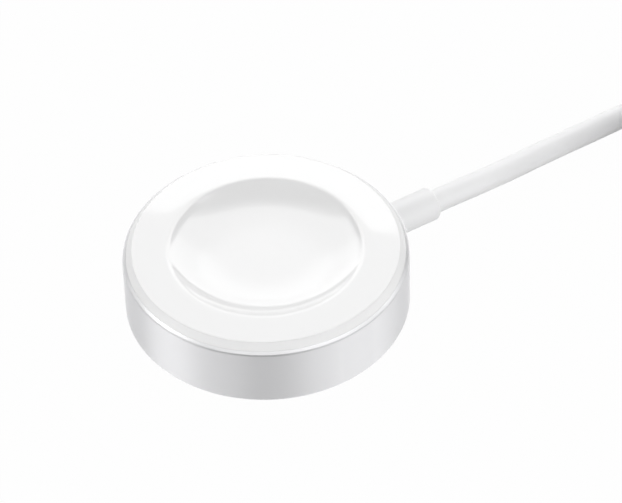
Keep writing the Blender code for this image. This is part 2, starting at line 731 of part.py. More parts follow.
def make_materials():
    """One material for each finish of the puck, the cable and the plug."""
    return {
        "aluminium": new_material("satin_aluminium", (0.80, 0.80, 0.81), 0.32, 1.0),
        "white_gloss": new_material("white_gloss_plastic", (0.88, 0.88, 0.88), 0.08),
        "white_soft": new_material("white_soft_jacket", (0.86, 0.86, 0.87), 0.42),
        "adhesive": new_material("black_adhesive", (0.03, 0.03, 0.03), 0.8),
        "steel": new_material("bright_steel", (0.62, 0.62, 0.63), 0.25, 1.0),
        "nickel": new_material("nickel_plating", (0.70, 0.68, 0.65), 0.2, 1.0),
        "copper": new_material("enamelled_copper", (0.72, 0.32, 0.16), 0.3, 1.0),
        "ferrite": new_material("dark_ferrite", (0.06, 0.06, 0.065), 0.6),
        "board": new_material("green_board", (0.03, 0.16, 0.07), 0.45),
        "pad": new_material("grey_thermal_pad", (0.45, 0.50, 0.55), 0.9),
        "chip": new_material("black_moulding", (0.02, 0.02, 0.02), 0.5),
        "ceramic": new_material("tan_ceramic", (0.45, 0.33, 0.22), 0.5),
        "strap": new_material("white_strap", (0.82, 0.82, 0.83), 0.85),
        "power_wire": new_material("red_insulation", (0.55, 0.03, 0.03), 0.5),
        "ground_wire": new_material("black_insulation", (0.02, 0.02, 0.02), 0.5),
        "data_wire_1": new_material("green_insulation", (0.03, 0.30, 0.06), 0.5),
        "data_wire_2": new_material("pale_insulation", (0.75, 0.75, 0.75), 0.5),
    }


def main():
    """Builds every piece of the charger."""
    clear_scene()
    parts = new_collection("watch_charger")
    cutters = new_collection("cutters")
    materials = make_materials()
    make_housing(materials, parts, cutters)
    make_cover(materials, parts)
    make_adhesive(materials, parts)
    make_magnet(materials, parts)
    make_board(materials, parts, cutters)
    make_chips(materials, parts)
    make_bay_parts(materials, parts)
    make_ferrite(materials, parts, cutters)
    make_charging_coil(materials, parts)
    make_strain_relief(materials, parts)
    make_crimp(materials, parts)
    make_wires(materials, parts)
    make_cord(materials, parts)
    make_cord_coil(materials, parts)
    make_coil_tie(materials, parts)
    make_cord_end(materials, parts)
    make_plug(materials, parts, cutters)


main()
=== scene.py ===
"""Looks of a flat round magnetic charger for a watch: its finishes, cable, plug and studio.

Every length is in metres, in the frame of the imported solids. The origin is at the middle of the
puck's underside, +Z is up, and the cable leaves along +X.
"""

from __future__ import annotations

import logging
import math
from collections.abc import Callable
from dataclasses import dataclass
from enum import Enum

import bpy
import numpy as np
from mathutils import Euler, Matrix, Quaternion, Vector

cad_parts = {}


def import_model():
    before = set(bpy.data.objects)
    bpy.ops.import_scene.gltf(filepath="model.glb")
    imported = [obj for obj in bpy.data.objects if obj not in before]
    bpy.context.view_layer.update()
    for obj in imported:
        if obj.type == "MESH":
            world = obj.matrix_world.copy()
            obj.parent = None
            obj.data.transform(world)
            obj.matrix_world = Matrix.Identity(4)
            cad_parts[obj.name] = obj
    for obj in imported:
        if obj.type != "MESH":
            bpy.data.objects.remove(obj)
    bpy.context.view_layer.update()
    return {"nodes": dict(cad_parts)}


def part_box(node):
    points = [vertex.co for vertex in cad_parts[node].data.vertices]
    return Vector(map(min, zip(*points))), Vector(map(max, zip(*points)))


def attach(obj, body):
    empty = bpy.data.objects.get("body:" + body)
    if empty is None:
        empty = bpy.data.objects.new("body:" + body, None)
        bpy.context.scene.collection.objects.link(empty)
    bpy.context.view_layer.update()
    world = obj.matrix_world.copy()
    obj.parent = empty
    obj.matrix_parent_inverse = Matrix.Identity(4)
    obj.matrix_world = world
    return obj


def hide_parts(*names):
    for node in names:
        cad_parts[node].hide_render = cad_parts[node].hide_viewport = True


LOG = logging.getLogger("watch_charger")

MM = 0.001
BODY = "root"
SMALLEST = 0.000001
NOISE_MIDDLE = 0.5
CABLE_BORE = 1.23 * MM
COIL_CENTRE = (0.0560, -0.01455)
WHITE = (1.0, 1.0, 1.0, 1.0)

Colour = tuple[float, float, float]
Point = tuple[float, float]


class Grain(Enum):
    """Which way the fine grain of a metal runs."""

    BLASTED = "blasted"
    TURNED = "turned"
    DRAWN = "drawn"


class Lit(Enum):
    """What a lamp lights: all of a finish, its gloss alone, or its matt colour alone."""

    ALL = "all"
    GLOSS = "gloss"
    MATT = "matt"


class Pick(Enum):
    """What a test selects in a mesh."""

    EDGES = "EDGE"
    FACES = "FACE"


class Value:
    """A socket of a material, with arithmetic that adds Math nodes."""

    def __init__(self, graph: Graph, socket: bpy.types.NodeSocket) -> None:
        """Holds one output socket of a material."""
        self.graph = graph
        self.socket = socket

    def math(self, operation: str, other: Value | float = 0.0, flipped: bool = False) -> Value:
        """Adds a Math node that combines this value with another.

        Args:
            operation: Blender's name of the operation.
            other: The second value.
            flipped: Whether the other value comes first.

        Returns:
            The result.
        """
        first, second = (other, self) if flipped else (self, other)
        node = self.graph.node("ShaderNodeMath", {"operation": operation}, {0: first, 1: second})
        return Value(self.graph, node.outputs[0])

    def __add__(self, other: Value | float) -> Value:
        """Sum of two values."""
        return self.math("ADD", other)

    def __radd__(self, other: float) -> Value:
        """Sum of a number and this value."""
        return self.math("ADD", other)

    def __sub__(self, other: Value | float) -> Value:
        """This value less another."""
        return self.math("SUBTRACT", other)

    def __rsub__(self, other: float) -> Value:
        """A number less this value."""
        return self.math("SUBTRACT", other, flipped=True)

    def __mul__(self, other: Value | float) -> Value:
        """Product of two values."""
        return self.math("MULTIPLY", other)

    def __rmul__(self, other: float) -> Value:
        """Product of a number and this value."""
        return self.math("MULTIPLY", other)

    def __truediv__(self, other: Value | float) -> Value:
        """This value over another."""
        return self.math("DIVIDE", other)

    def __rtruediv__(self, other: float) -> Value:
        """A number over this value."""
        return self.math("DIVIDE", other, flipped=True)

    def above(self, limit: float) -> Value:
        """One where this value is over a limit, and nought elsewhere."""
        return self.math("GREATER_THAN", limit)

    def larger(self, other: Value | float) -> Value:
        """The larger of two values."""
        return self.math("MAXIMUM", other)

    def sine(self) -> Value:
        """Sine of this value."""
        return self.math("SINE")

    def size(self) -> Value:
        """This value without its sign."""
        return self.math("ABSOLUTE")

    def rise(self, low: float, high: float) -> Value:
        """Smooth step from nought to one.

        Args:
            low: Where the step starts.
            high: Where it ends.

        Returns:
            The step.
        """
        settings = {"interpolation_type": "SMOOTHSTEP"}
        node = self.graph.node("ShaderNodeMapRange", settings, {0: self, 1: low, 2: high})
        return Value(self.graph, node.outputs[0])


class Graph:
    """One material: its Principled shader and the nodes that feed it."""

    def __init__(self, name: str, colour: Colour, roughness: float, metallic: float = 0.0) -> None:
        """Starts a material.

        Args:
            name: The material's name.
            colour: Its colour, in linear light.
            roughness: Its roughness.
            metallic: One for a metal.
        """
        self.material = bpy.data.materials.new(name)
        self.material.use_nodes = True
        self.tree = self.material.node_tree
        self.shader = self.tree.nodes["Principled BSDF"]
        self.colour = colour
        self.feed("Base Color", (*colour, 1.0))
        self.feed("Roughness", roughness)
        self.feed("Metallic", metallic)

    def node(
        self, kind: str, settings: dict | None = None, inputs: dict | None = None
    ) -> bpy.types.Node:
        """Adds a node.

        Args:
            kind: Blender's name of the node's type.
            settings: Settings of the node, set first.
            inputs: Numbers, colours or values for its sockets, by name or place.

        Returns:
            The node.
        """
        node = self.tree.nodes.new(kind)
        for key, setting in (settings or {}).items():
            setattr(node, key, setting)
        for key, given in (inputs or {}).items():
            if isinstance(given, Value):
                self.tree.links.new(given.socket, node.inputs[key])
            else:
                node.inputs[key].default_value = given
        return node

    def feed(self, name: str, given: Value | float | tuple[float, ...]) -> None:
        """Sets or links a socket of the Principled shader.

        Args:
            name: The socket's name.
            given: A number, a colour or a value.
        """
        if isinstance(given, Value):
            self.tree.links.new(given.socket, self.shader.inputs[name])
        else:
            self.shader.inputs[name].default_value = given

    def place(self) -> Value:
        """Place on the piece, in metres."""
        return Value(self, self.node("ShaderNodeTexCoord").outputs["Object"])

    def uv(self) -> Value:
        """Place in the piece's own UV map."""
        return Value(self, self.node("ShaderNodeTexCoord").outputs["UV"])

    def split(self, vector: Value) -> tuple[Value, Value, Value]:
        """X, Y and Z of a vector."""
        node = self.node("ShaderNodeSeparateXYZ", inputs={0: vector})
        return tuple(Value(self, output) for output in node.outputs)

    def join(self, x: Value | float, y: Value | float, z: Value | float) -> Value:
        """Vector of three values."""
        node = self.node("ShaderNodeCombineXYZ", inputs={0: x, 1: y, 2: z})
        return Value(self, node.outputs[0])

    def reach(self, vector: Value) -> Value:
        """Distance of a place from the Z axis.

        Args:
            vector: The place.

        Returns:
            The distance.
        """
        kind = "ShaderNodeVectorMath"
        flat = self.node(kind, {"operation": "MULTIPLY"}, {0: vector, 1: (1.0, 1.0, 0.0)})
        length = self.node(kind, {"operation": "LENGTH"}, {0: Value(self, flat.outputs[0])})
        return Value(self, length.outputs["Value"])

    def noise(self, vector: Value, size: float, detail: float = 2.0) -> Value:
        """Soft noise from nought to one.

        Args:
            vector: The place.
            size: Width of its largest spots.
            detail: Number of finer layers.

        Returns:
            The noise.
        """
        inputs = {"Vector": vector, "Scale": 1.0 / size, "Detail": detail}
        node = self.node("ShaderNodeTexNoise", inputs=inputs)
        return Value(self, node.outputs[0])

    def cells(self, vector: Value, size: float) -> Value:
        """Distance to the nearest of many scattered points, in cells of a size."""
        node = self.node("ShaderNodeTexVoronoi", inputs={"Vector": vector, "Scale": 1.0 / size})
        return Value(self, node.outputs["Distance"])

    def blend(self, factor: Value, low: Value | Colour, high: Colour) -> Value:
        """Colour between two.

        Args:
            factor: Nought for the first, one for the second.
            low: The first colour.
            high: The second colour.

        Returns:
            The colour.
        """
        first = low if isinstance(low, Value) else (*low, 1.0)
        node = self.node(
            "ShaderNodeMix", {"data_type": "RGBA"}, {0: factor, 6: first, 7: (*high, 1.0)}
        )
        return Value(self, node.outputs[2])

    def vary(self, factor: Value, amount: float) -> None:
        """Lets the base colour vary about its level.

        Args:
            factor: A value from nought to one.
            amount: The variation as a share of the colour.
        """
        low = tuple(part * (1.0 - amount) for part in self.colour)
        high = tuple(part * (1.0 + amount) for part in self.colour)
        self.feed("Base Color", self.blend(factor, low, high))

    def bump(self, height: Value, depth: float) -> None:
        """Gives the surface a fine relief of a full depth, from a height of nought to one."""
        inputs = {"Height": height, "Distance": depth, "Strength": 1.0}
        self.feed("Normal", Value(self, self.node("ShaderNodeBump", inputs=inputs).outputs["Normal"]))


@dataclass(frozen=True)
class Metal:
    """Bare metal with a fine grain."""

    name: str
    colour: Colour
    roughness: float
    grain: Grain
    grain_size: float
    grain_depth: float
    stretch: float = 0.0
    stretch_turn: float = 0.25
    roughness_spread: float = 0.06
    grain_length: float = 40.0
    grain_detail: float = 3.0
    cloud_scale: float = 60.0
    cloud_spread: float = 0.012

    def pattern(self, graph: Graph) -> Value:
        """Place in which the grain is drawn.

        Args:
            graph: The material.

        Returns:
            The place, squeezed across the grain.
        """
        place = graph.place()
        if self.grain is Grain.BLASTED:
            return place
        x, y, z = graph.split(place)
        if self.grain is Grain.TURNED:
            return graph.join(graph.reach(place), x / self.grain_length, z)
        return graph.join(x, y / self.grain_length, z)

    def material(self) -> bpy.types.Material:
        """Makes the material.

        Returns:
            The material.
        """
        graph = Graph(self.name, self.colour, self.roughness, metallic=1.0)
        grain = graph.noise(self.pattern(graph), self.grain_size, self.grain_detail)
        cloud = graph.noise(graph.place(), self.cloud_scale * self.grain_size)
        graph.vary(cloud, self.cloud_spread)
        uneven = self.roughness_spread * (grain - NOISE_MIDDLE)
        graph.feed("Roughness", self.roughness + uneven)
        graph.feed("Anisotropic", self.stretch)
        graph.feed("Anisotropic Rotation", self.stretch_turn)
        graph.bump(grain, self.grain_depth)
        return graph.material


@dataclass(frozen=True)
class Moulding:
    """Moulded plastic, rubber or a fired part, with a fine skin."""

    name: str
    colour: Colour
    roughness: float
    skin_size: float
    skin_depth: float
    spread: float = 0.01
    roughness_spread: float = 0.04
    cloud_scale: float = 25.0

    def graph(self) -> Graph:
        """Makes the material's nodes.

        Returns:
            The material as a graph.
        """
        graph = Graph(self.name, self.colour, self.roughness)
        place = graph.place()
        skin = graph.noise(place, self.skin_size)
        cloud = graph.noise(place, self.cloud_scale * self.skin_size)
        graph.vary(cloud, self.spread)
        uneven = self.roughness_spread * (cloud - NOISE_MIDDLE)
        graph.feed("Roughness", self.roughness + uneven)
        graph.bump(skin, self.skin_depth)
        return graph

    def material(self) -> bpy.types.Material:
        """Makes the material."""
        return self.graph().material


@dataclass(frozen=True)
class DishedGloss(Moulding):
    """Glossy moulding whose gloss softens in a round dish, and more in the dish's middle."""

    dish_radius: float = 9.8 * MM
    edge_width: float = 0.6 * MM
    dish_roughness: float = 0.09
    middle_radius: float = 5.8 * MM
    middle_fade: float = 2.0 * MM
    middle_roughness: float = 0.24
    skin_gloss: float = 1.0
    edge_radius: float = 13.0 * MM
    edge_roughness: float = 0.40

    def material(self) -> bpy.types.Material:
        """Makes the material.

        Returns:
            The material.
        """
        graph = self.graph()
        reach = graph.reach(graph.place())
        inside = 1.0 - reach.rise(self.dish_radius - self.edge_width, self.dish_radius)
        middle = 1.0 - reach.rise(self.middle_radius - self.middle_fade, self.middle_radius)
        edge = reach.above(self.edge_radius)
        soft = self.roughness + (self.dish_roughness - self.roughness) * inside
        soft = soft + (self.edge_roughness - self.roughness) * edge
        graph.feed("Roughness", soft + (self.middle_roughness - self.dish_roughness) * middle)
        graph.feed("Specular IOR Level", self.skin_gloss)
        return graph.material


@dataclass(frozen=True)
class Weave:
    """Fine plain weave that follows a strap's UV map, in metres, with painted shade where the threads dip
    under each other.
    """

    name: str
    colour: Colour
    roughness: float
    thread: float
    depth: float
    crossing: float = 0.25
    hairs_per_thread: float = 3.0
    fuzz_in_colour: float = 0.2
    fuzz_in_height: float = 0.15
    spread: float = 0.06
    sheen: float = 0.25

    def material(self) -> bpy.types.Material:
        """Makes the material.

        Returns:
            The material.
        """
        graph = Graph(self.name, self.colour, self.roughness)
        u, v, _ = graph.split(graph.uv())
        along = (u * (math.pi / self.thread)).sine()
        across = (v * (math.pi / self.thread)).sine()
        checks = (along * across).rise(-self.crossing, self.crossing)
        height = across.size() * checks + along.size() * (1.0 - checks)
        fuzz = graph.noise(graph.uv(), self.thread / self.hairs_per_thread)
        # Colour darkens where the threads dip under each other: painted shade, mixed with random fuzz.
        painted_shade_and_fuzz = height * (1.0 - self.fuzz_in_colour) + fuzz * self.fuzz_in_colour
        graph.vary(painted_shade_and_fuzz, self.spread)
        graph.feed("Sheen Weight", self.sheen)
        relief = height * (1.0 - self.fuzz_in_height) + fuzz * self.fuzz_in_height
        graph.bump(relief, self.depth)
        return graph.material


@dataclass(frozen=True)
class Board:
    """Circuit board with its solder mask over rings of tracks and its bare pads."""

    name: str
    colour: Colour
    track_colour: Colour
    pad_colour: Colour
    track_pitch: float
    patch_scale: float = 6.0
    patch_level: float = 0.47
    track_level: float = 0.1
    pad_scale: float = 5.0
    pad_edge: tuple[float, float] = (0.14, 0.17)
    mask_roughness: float = 0.38
    pad_polish: float = 0.1
    relief: float = 0.02 * MM

    def material(self) -> bpy.types.Material:
        """Makes the material.

        Returns:
            The material.
        """
        graph = Graph(self.name, self.colour, self.mask_roughness)
        place = graph.place()
        rings = graph.reach(place) * (2 * math.pi / self.track_pitch)
        patches = graph.noise(place, self.patch_scale * self.track_pitch).above(self.patch_level)
        tracks = rings.sine().above(self.track_level) * patches
        pads = 1.0 - graph.cells(place, self.pad_scale * self.track_pitch).rise(*self.pad_edge)
        masked = graph.blend(tracks, self.colour, self.track_colour)
        graph.feed("Base Color", graph.blend(pads, masked, self.pad_colour))
        graph.feed("Metallic", pads)
        graph.feed("Roughness", self.mask_roughness - self.pad_polish * pads)
        graph.bump(tracks.larger(pads), self.relief)
        return graph.material


Finish = Metal | Moulding | Weave | Board


def insulation(name: str, colour: Colour, spread: float = 0.04) -> Moulding:
    """Finish of a wire's insulation."""
    return Moulding(name, colour, 0.42, 0.08 * MM, 0.002 * MM, spread)


ALUMINIUM = Metal("satin_aluminium", (0.80, 0.80, 0.81), 0.62, Grain.BLASTED, 0.09 * MM, 0.0004 * MM, 0.9)
POLISHED_EDGE = Metal("polished_aluminium", (0.79, 0.79, 0.80), 0.36, Grain.TURNED, 0.05 * MM, 0.0001 * MM)
STEEL = Metal("bright_steel", (0.62, 0.62, 0.63), 0.22, Grain.DRAWN, 0.04 * MM, 0.0004 * MM)
NICKEL = Metal("nickel_plating", (0.70, 0.68, 0.65), 0.20, Grain.BLASTED, 0.06 * MM, 0.0004 * MM)
GOLD = Metal("gold_plating", (0.83, 0.62, 0.28), 0.22, Grain.DRAWN, 0.03 * MM, 0.0003 * MM)
COPPER = Metal("enamelled_copper", (0.72, 0.32, 0.16), 0.30, Grain.BLASTED, 0.12 * MM, 0.001 * MM)
COVER_GLOSS = DishedGloss("white_cover", (0.88, 0.88, 0.88), 0.02, 1.2 * MM, 0.00005 * MM, 0.004, 0.0)
PLUG_GLOSS = Moulding("white_plug", (0.87, 0.87, 0.875), 0.12, 0.9 * MM, 0.0004 * MM, 0.006)
JACKET = Moulding("white_jacket", (0.95, 0.95, 0.955), 0.40, 0.12 * MM, 0.0016 * MM, 0.008)
RELIEF_SKIN = Moulding("white_relief", (0.94, 0.94, 0.945), 0.34, 0.10 * MM, 0.0012 * MM, 0.006)
BLACK_MOULDING = Moulding("black_moulding", (0.02, 0.02, 0.021), 0.48, 0.06 * MM, 0.002 * MM, 0.2)
ADHESIVE = Moulding("black_adhesive", (0.03, 0.03, 0.03), 0.75, 0.15 * MM, 0.008 * MM, 0.15)
FERRITE = Moulding("dark_ferrite", (0.06, 0.06, 0.065), 0.55, 0.08 * MM, 0.004 * MM, 0.2)
THERMAL_PAD = Moulding("grey_thermal_pad", (0.45, 0.50, 0.55), 0.85, 0.20 * MM, 0.010 * MM, 0.06)
CERAMIC = Moulding("tan_ceramic", (0.45, 0.33, 0.22), 0.45, 0.05 * MM, 0.003 * MM, 0.10)
RED_INSULATION = insulation("red_insulation", (0.55, 0.03, 0.03))
GREEN_INSULATION = insulation("green_insulation", (0.03, 0.30, 0.06))
PALE_INSULATION = insulation("pale_insulation", (0.75, 0.75, 0.75), 0.02)
BLACK_INSULATION = insulation("black_insulation", (0.02, 0.02, 0.02), 0.10)
STRAP = Weave("white_strap", (0.80, 0.80, 0.81), 0.82, 0.22 * MM, 0.05 * MM)
SOLDER_MASK = Board(
    "green_board", (0.03, 0.16, 0.07), (0.05, 0.26, 0.12), (0.75, 0.72, 0.66), 0.35 * MM
)

INNER_FINISHES = {
    ADHESIVE: ["cover_adhesive"],
    STEEL: ["magnet_yoke", "crystal", "cable_crimp"],
    NICKEL: ["magnet"],
    THERMAL_PAD: ["thermal_pad"],
    SOLDER_MASK: ["circuit_board"],
    BLACK_MOULDING: ["controller_chip", "bridge_driver_1", "bridge_driver_2", "regulator_chip"],
    CERAMIC: [
        "temperature_sensor",
        *(f"resonance_capacitor_{number}" for number in range(1, 5)),
        *(f"input_capacitor_{number}" for number in range(1, 3)),
    ],
    FERRITE: ["inductor", "ferrite_plate"],
    COPPER: ["charging_coil"],
    RED_INSULATION: ["power_wire"],
    GREEN_INSULATION: ["data_wire_1"],
    PALE_INSULATION: ["data_wire_2"],
    BLACK_INSULATION: ["ground_wire"],
}


class Bench:
    """Modelling by hand: primitives that are shaped in edit mode, and applied modifiers."""

    materials: dict[str, bpy.types.Material] = {}

    @staticmethod
    def clear() -> None:
        """Leaves edit mode and deselects every object."""
        if bpy.context.mode != "OBJECT":
            bpy.ops.object.mode_set(mode="OBJECT")
        bpy.ops.object.select_all(action="DESELECT")

    @staticmethod
    def settle() -> None:
        """Puts the place, turn and scale of the object in hand into its mesh."""
        bpy.ops.object.transform_apply(location=True, rotation=True, scale=True)

    @staticmethod
    def extrude(x: float, y: float, z: float) -> None:
        """Extrudes what is selected of the mesh in hand, by a move."""
        bpy.ops.mesh.extrude_region_move(TRANSFORM_OT_translate={"value": (x, y, z)})

    @classmethod
    def hold(cls, thing: bpy.types.Object) -> None:
        """Makes an object the only one that is selected.

        Args:
            thing: The object.
        """
        cls.clear()
        thing.select_set(True)
        bpy.context.view_layer.objects.active = thing

    @classmethod
    def line(cls, name: str, points: list[Vector]) -> bpy.types.Object:
        """Draws an open line: one vertex, extruded from point to point. It stays in edit mode.

        Args:
            name: The object's name.
            points: The line's points.

        Returns:
            The line.
        """
        cls.clear()
        bpy.ops.mesh.primitive_plane_add(size=MM, location=points[0])
        thing = bpy.context.object
        thing.name = name
        bpy.ops.object.mode_set(mode="EDIT")
        bpy.ops.mesh.select_mode(type="VERT")
        bpy.ops.mesh.select_all(action="SELECT")
        bpy.ops.mesh.merge(type="CENTER")
        for start, end in zip(points, points[1:]):
            bpy.ops.mesh.extrude_vertices_move(TRANSFORM_OT_translate={"value": end - start})
        return thing

    @classmethod
    def turned(cls, name: str, profile: list[Point], sides: int) -> bpy.types.Object:
        """Spins a profile about Z into a closed body.

        Args:
            name: The object's name.
            profile: Points of (radius, height), both ends on the axis.
            sides: Number of steps round.

        Returns:
            The turned piece.
        """
        thing = cls.line(name, [Vector((radius, 0.0, height)) for radius, height in profile])
        bpy.ops.mesh.select_all(action="SELECT")
        bpy.ops.mesh.spin(steps=sides, angle=2 * math.pi, center=(0, 0, 0), axis=(0, 0, 1))
        cls.close()
        return thing

    @classmethod
    def close(cls) -> None:
        """Merges doubles of the mesh in hand, turns its faces outwards and settles it."""
        bpy.ops.mesh.select_all(action="SELECT")
        bpy.ops.mesh.remove_doubles(threshold=SMALLEST)
        bpy.ops.mesh.normals_make_consistent(inside=False)
        bpy.ops.object.mode_set(mode="OBJECT")
        cls.settle()

    @classmethod
    def turn_to(cls, thing: bpy.types.Object, turn: Euler, place: Vector) -> None:
        """Turns and moves a finished mesh, and keeps its place in the mesh.

        Args:
            thing: The object.
            turn: How it is turned.
            place: Where its origin goes.
        """
        cls.hold(thing)
        thing.rotation_euler = turn
        thing.location = place
        cls.settle()

    @classmethod
    def modify(cls, thing: bpy.types.Object, kind: str, **settings: object) -> None:
        """Adds a modifier and applies it.

        Args:
            thing: The object.
            kind: Blender's name of the modifier's type.
            **settings: The modifier's settings.
        """
        cls.hold(thing)
        modifier = thing.modifiers.new(kind.lower(), kind)
        for key, setting in settings.items():
            setattr(modifier, key, setting)
        bpy.ops.object.modifier_apply(modifier=modifier.name)

    @classmethod
    def smooth(cls, thing: bpy.types.Object, degrees: float = 30.0) -> None:
        """Shades an object smooth, with sharp edges over an angle."""
        cls.hold(thing)
        bpy.ops.object.shade_smooth_by_angle(angle=math.radians(degrees))

    @classmethod
    def select(cls, thing: bpy.types.Object, pick: Pick, wanted: Callable[..., bool]) -> None:
        """Selects edges or faces of the mesh in hand by a test, in edit mode.

        Args:
            thing: The object.
            pick: What is selected.
            wanted: The test, which takes an edge's two ends or a face.
        """
        bpy.ops.mesh.select_mode(type=pick.value)
        bpy.ops.mesh.select_all(action="DESELECT")
        bpy.ops.object.mode_set(mode="OBJECT")
        mesh = thing.data
        if pick is Pick.EDGES:
            for edge in mesh.edges:
                edge.select = bool(wanted(*(mesh.vertices[i].co for i in edge.vertices)))
        else:
            for face in mesh.polygons:
                face.select = bool(wanted(face))
        bpy.ops.object.mode_set(mode="EDIT")

    @classmethod
    def round_end(cls, radius: float, steps: int) -> None:
        """Rounds the edge of the flat end that is selected, by insets that move outwards.

        Args:
            radius: The rounding.
            steps: Its steps.
        """
        angles = [math.pi / 2 * i / steps for i in range(steps + 1)]
        for low, high in zip(angles, angles[1:]):
            inwards = radius * (math.cos(low) - math.cos(high))
            outwards = radius * (math.sin(high) - math.sin(low))
            bpy.ops.mesh.inset(thickness=inwards, depth=outwards)

    @classmethod
    def dress(cls, thing: bpy.types.Object, *finishes: Finish) -> None:
        """Gives an object its materials, each of which is made once.

        Args:
            thing: The object.
            *finishes: The finishes, in the order of the material slots.
        """
        thing.data.materials.clear()
        for finish in finishes:
            if finish.name not in cls.materials:
                cls.materials[finish.name] = finish.material()
            thing.data.materials.append(cls.materials[finish.name])

    @classmethod
    def ship(cls, thing: bpy.types.Object, slot: str, *nodes: str) -> None:
        """Lets a piece ride on the body and stand for solids.

        Args:
            thing: The piece.
            slot: The record's material slot. Not used.
            *nodes: Names of the solids that it replaces.
        """
        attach(thing, BODY)
        if nodes:
            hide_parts(*nodes)
        count = len(thing.data.polygons) if thing.type == "MESH" else 0
        LOG.info("%s made, %d faces", thing.name, count)

    @classmethod
    def complete(
        cls, thing: bpy.types.Object, finish: Finish, slot: str, *nodes: str, degrees: float = 30.0
    ) -> bpy.types.Object:
        """Shades, dresses and ships a piece that is modelled.

        Args:
            thing: The piece.
            finish: Its finish.
            slot: The record's material slot.
            *nodes: Names of the solids that it replaces.
            degrees: The angle over which its edges stay sharp.

        Returns:
            The piece.
        """
        cls.smooth(thing, degrees)
        cls.dress(thing, finish)
        cls.ship(thing, slot, *nodes)
        return thing


def rounded(
    corners: list[tuple[float, float, float]], steps: int = 5, hold: float = 0.0
) -> list[Point]:
    """Outline through corners, each of which may be rounded.

    Args:
        corners: Points of (x, y, rounding radius).
        steps: Number of steps in each rounding.
        hold: Distance of an extra point on each side of a rounding, which keeps the flats flat.

    Returns:
        The outline's points.
    """
    points: list[Point] = []
    for i, (x, y, radius) in enumerate(corners):
        here = Vector((x, y))
        if radius <= 0.0 or i in (0, len(corners) - 1):
            points.append((x, y))
            continue
        before = (Vector(corners[i - 1][:2]) - here).normalized()
        after = (Vector(corners[i + 1][:2]) - here).normalized()
        half = before.angle(after) / 2
        centre = here + (before + after).normalized() * radius / math.sin(half)
        start = here + before * radius / math.tan(half) - centre
        end = here + after * radius / math.tan(half) - centre
        sweep = start.angle_signed(end)
        if hold > 0.0:
            points.append(tuple(centre + start + before * hold))
        for k in range(steps + 1):
            angle = math.atan2(start.y, start.x) - sweep * k / steps
            points.append((centre.x + radius * math.cos(angle), centre.y + radius * math.sin(angle)))
        if hold > 0.0:
            points.append(tuple(centre + end + after * hold))
    return points


@dataclass
class Housing:
    """Turned aluminium cup with its polished rim and the hole for the cable."""

    radius: float
    rim_level: float = 6.465 * MM
    rim_radius: float = 13.655 * MM
    chamfer: float = 0.24 * MM
    shoulder_rounding: float = 0.28 * MM
    foot: float = 0.30 * MM
    rebate_radius: float = 13.20 * MM
    rebate_level: float = 6.20 * MM
    inner_radius: float = 12.50 * MM
    inner_rounding: float = 0.20 * MM
    ledge_level: float = 4.80 * MM
    floor: float = 0.80 * MM
    hole_radius: float = 1.75 * MM
    hole_level: float = 2.90 * MM
    hole_middle: float = 13.50 * MM
    hole_length: float = 3.0 * MM
    hole_sides: int = 48
    edge: float = 0.03 * MM
    hold: float = 0.01 * MM
    steps: int = 6
    sides: int = 240

    def shoulder(self) -> float:
        """Level at which the chamfer's slope would meet the wall."""
        return self.rim_level - (self.radius - self.rim_radius)

    def profile(self) -> list[Point]:
        """Section of the cup.

        Returns:
            Its outline, from the inner floor over the rim to the underside.
        """
        corners = [
            (0.0, self.floor, 0.0),
            (self.inner_radius, self.floor, self.inner_rounding),
            (self.inner_radius, self.ledge_level, self.edge),
            (self.rebate_radius, self.ledge_level, self.edge),
            (self.rebate_radius, self.rebate_level, self.edge),
            (self.rim_radius, self.rebate_level, 0.0),
            (self.rim_radius, self.rim_level, 0.0),
            (self.rim_radius + self.chamfer, self.rim_level - self.chamfer, 0.0),
            (self.radius, self.shoulder(), self.shoulder_rounding),
            (self.radius, 0.0, self.foot),
            (0.0, 0.0, 0.0),
        ]
        return rounded(corners, self.steps, self.hold)

    def build(self) -> None:
        """Models the cup, cuts the hole and dresses it."""
        cup = Bench.turned("housing_cup", self.profile(), self.sides)
        Bench.clear()
        bpy.ops.mesh.primitive_cylinder_add(
            vertices=self.hole_sides,
            radius=self.hole_radius,
            depth=self.hole_length,
            location=(self.hole_middle, 0.0, self.hole_level),
            rotation=(0.0, math.pi / 2, 0.0),
        )
        cutter = bpy.context.object
        Bench.modify(cup, "BOOLEAN", operation="DIFFERENCE", object=cutter)
        bpy.data.objects.remove(cutter, do_unlink=True)
        Bench.smooth(cup)
        Bench.dress(cup, ALUMINIUM, POLISHED_EDGE)
        low = self.rim_level - self.chamfer
        for face in cup.data.polygons:
            on_rim = face.center.z > low and face.center.xy.length > self.rebate_radius
            face.material_index = int(on_rim)
        Bench.ship(cup, "aluminium", "housing")


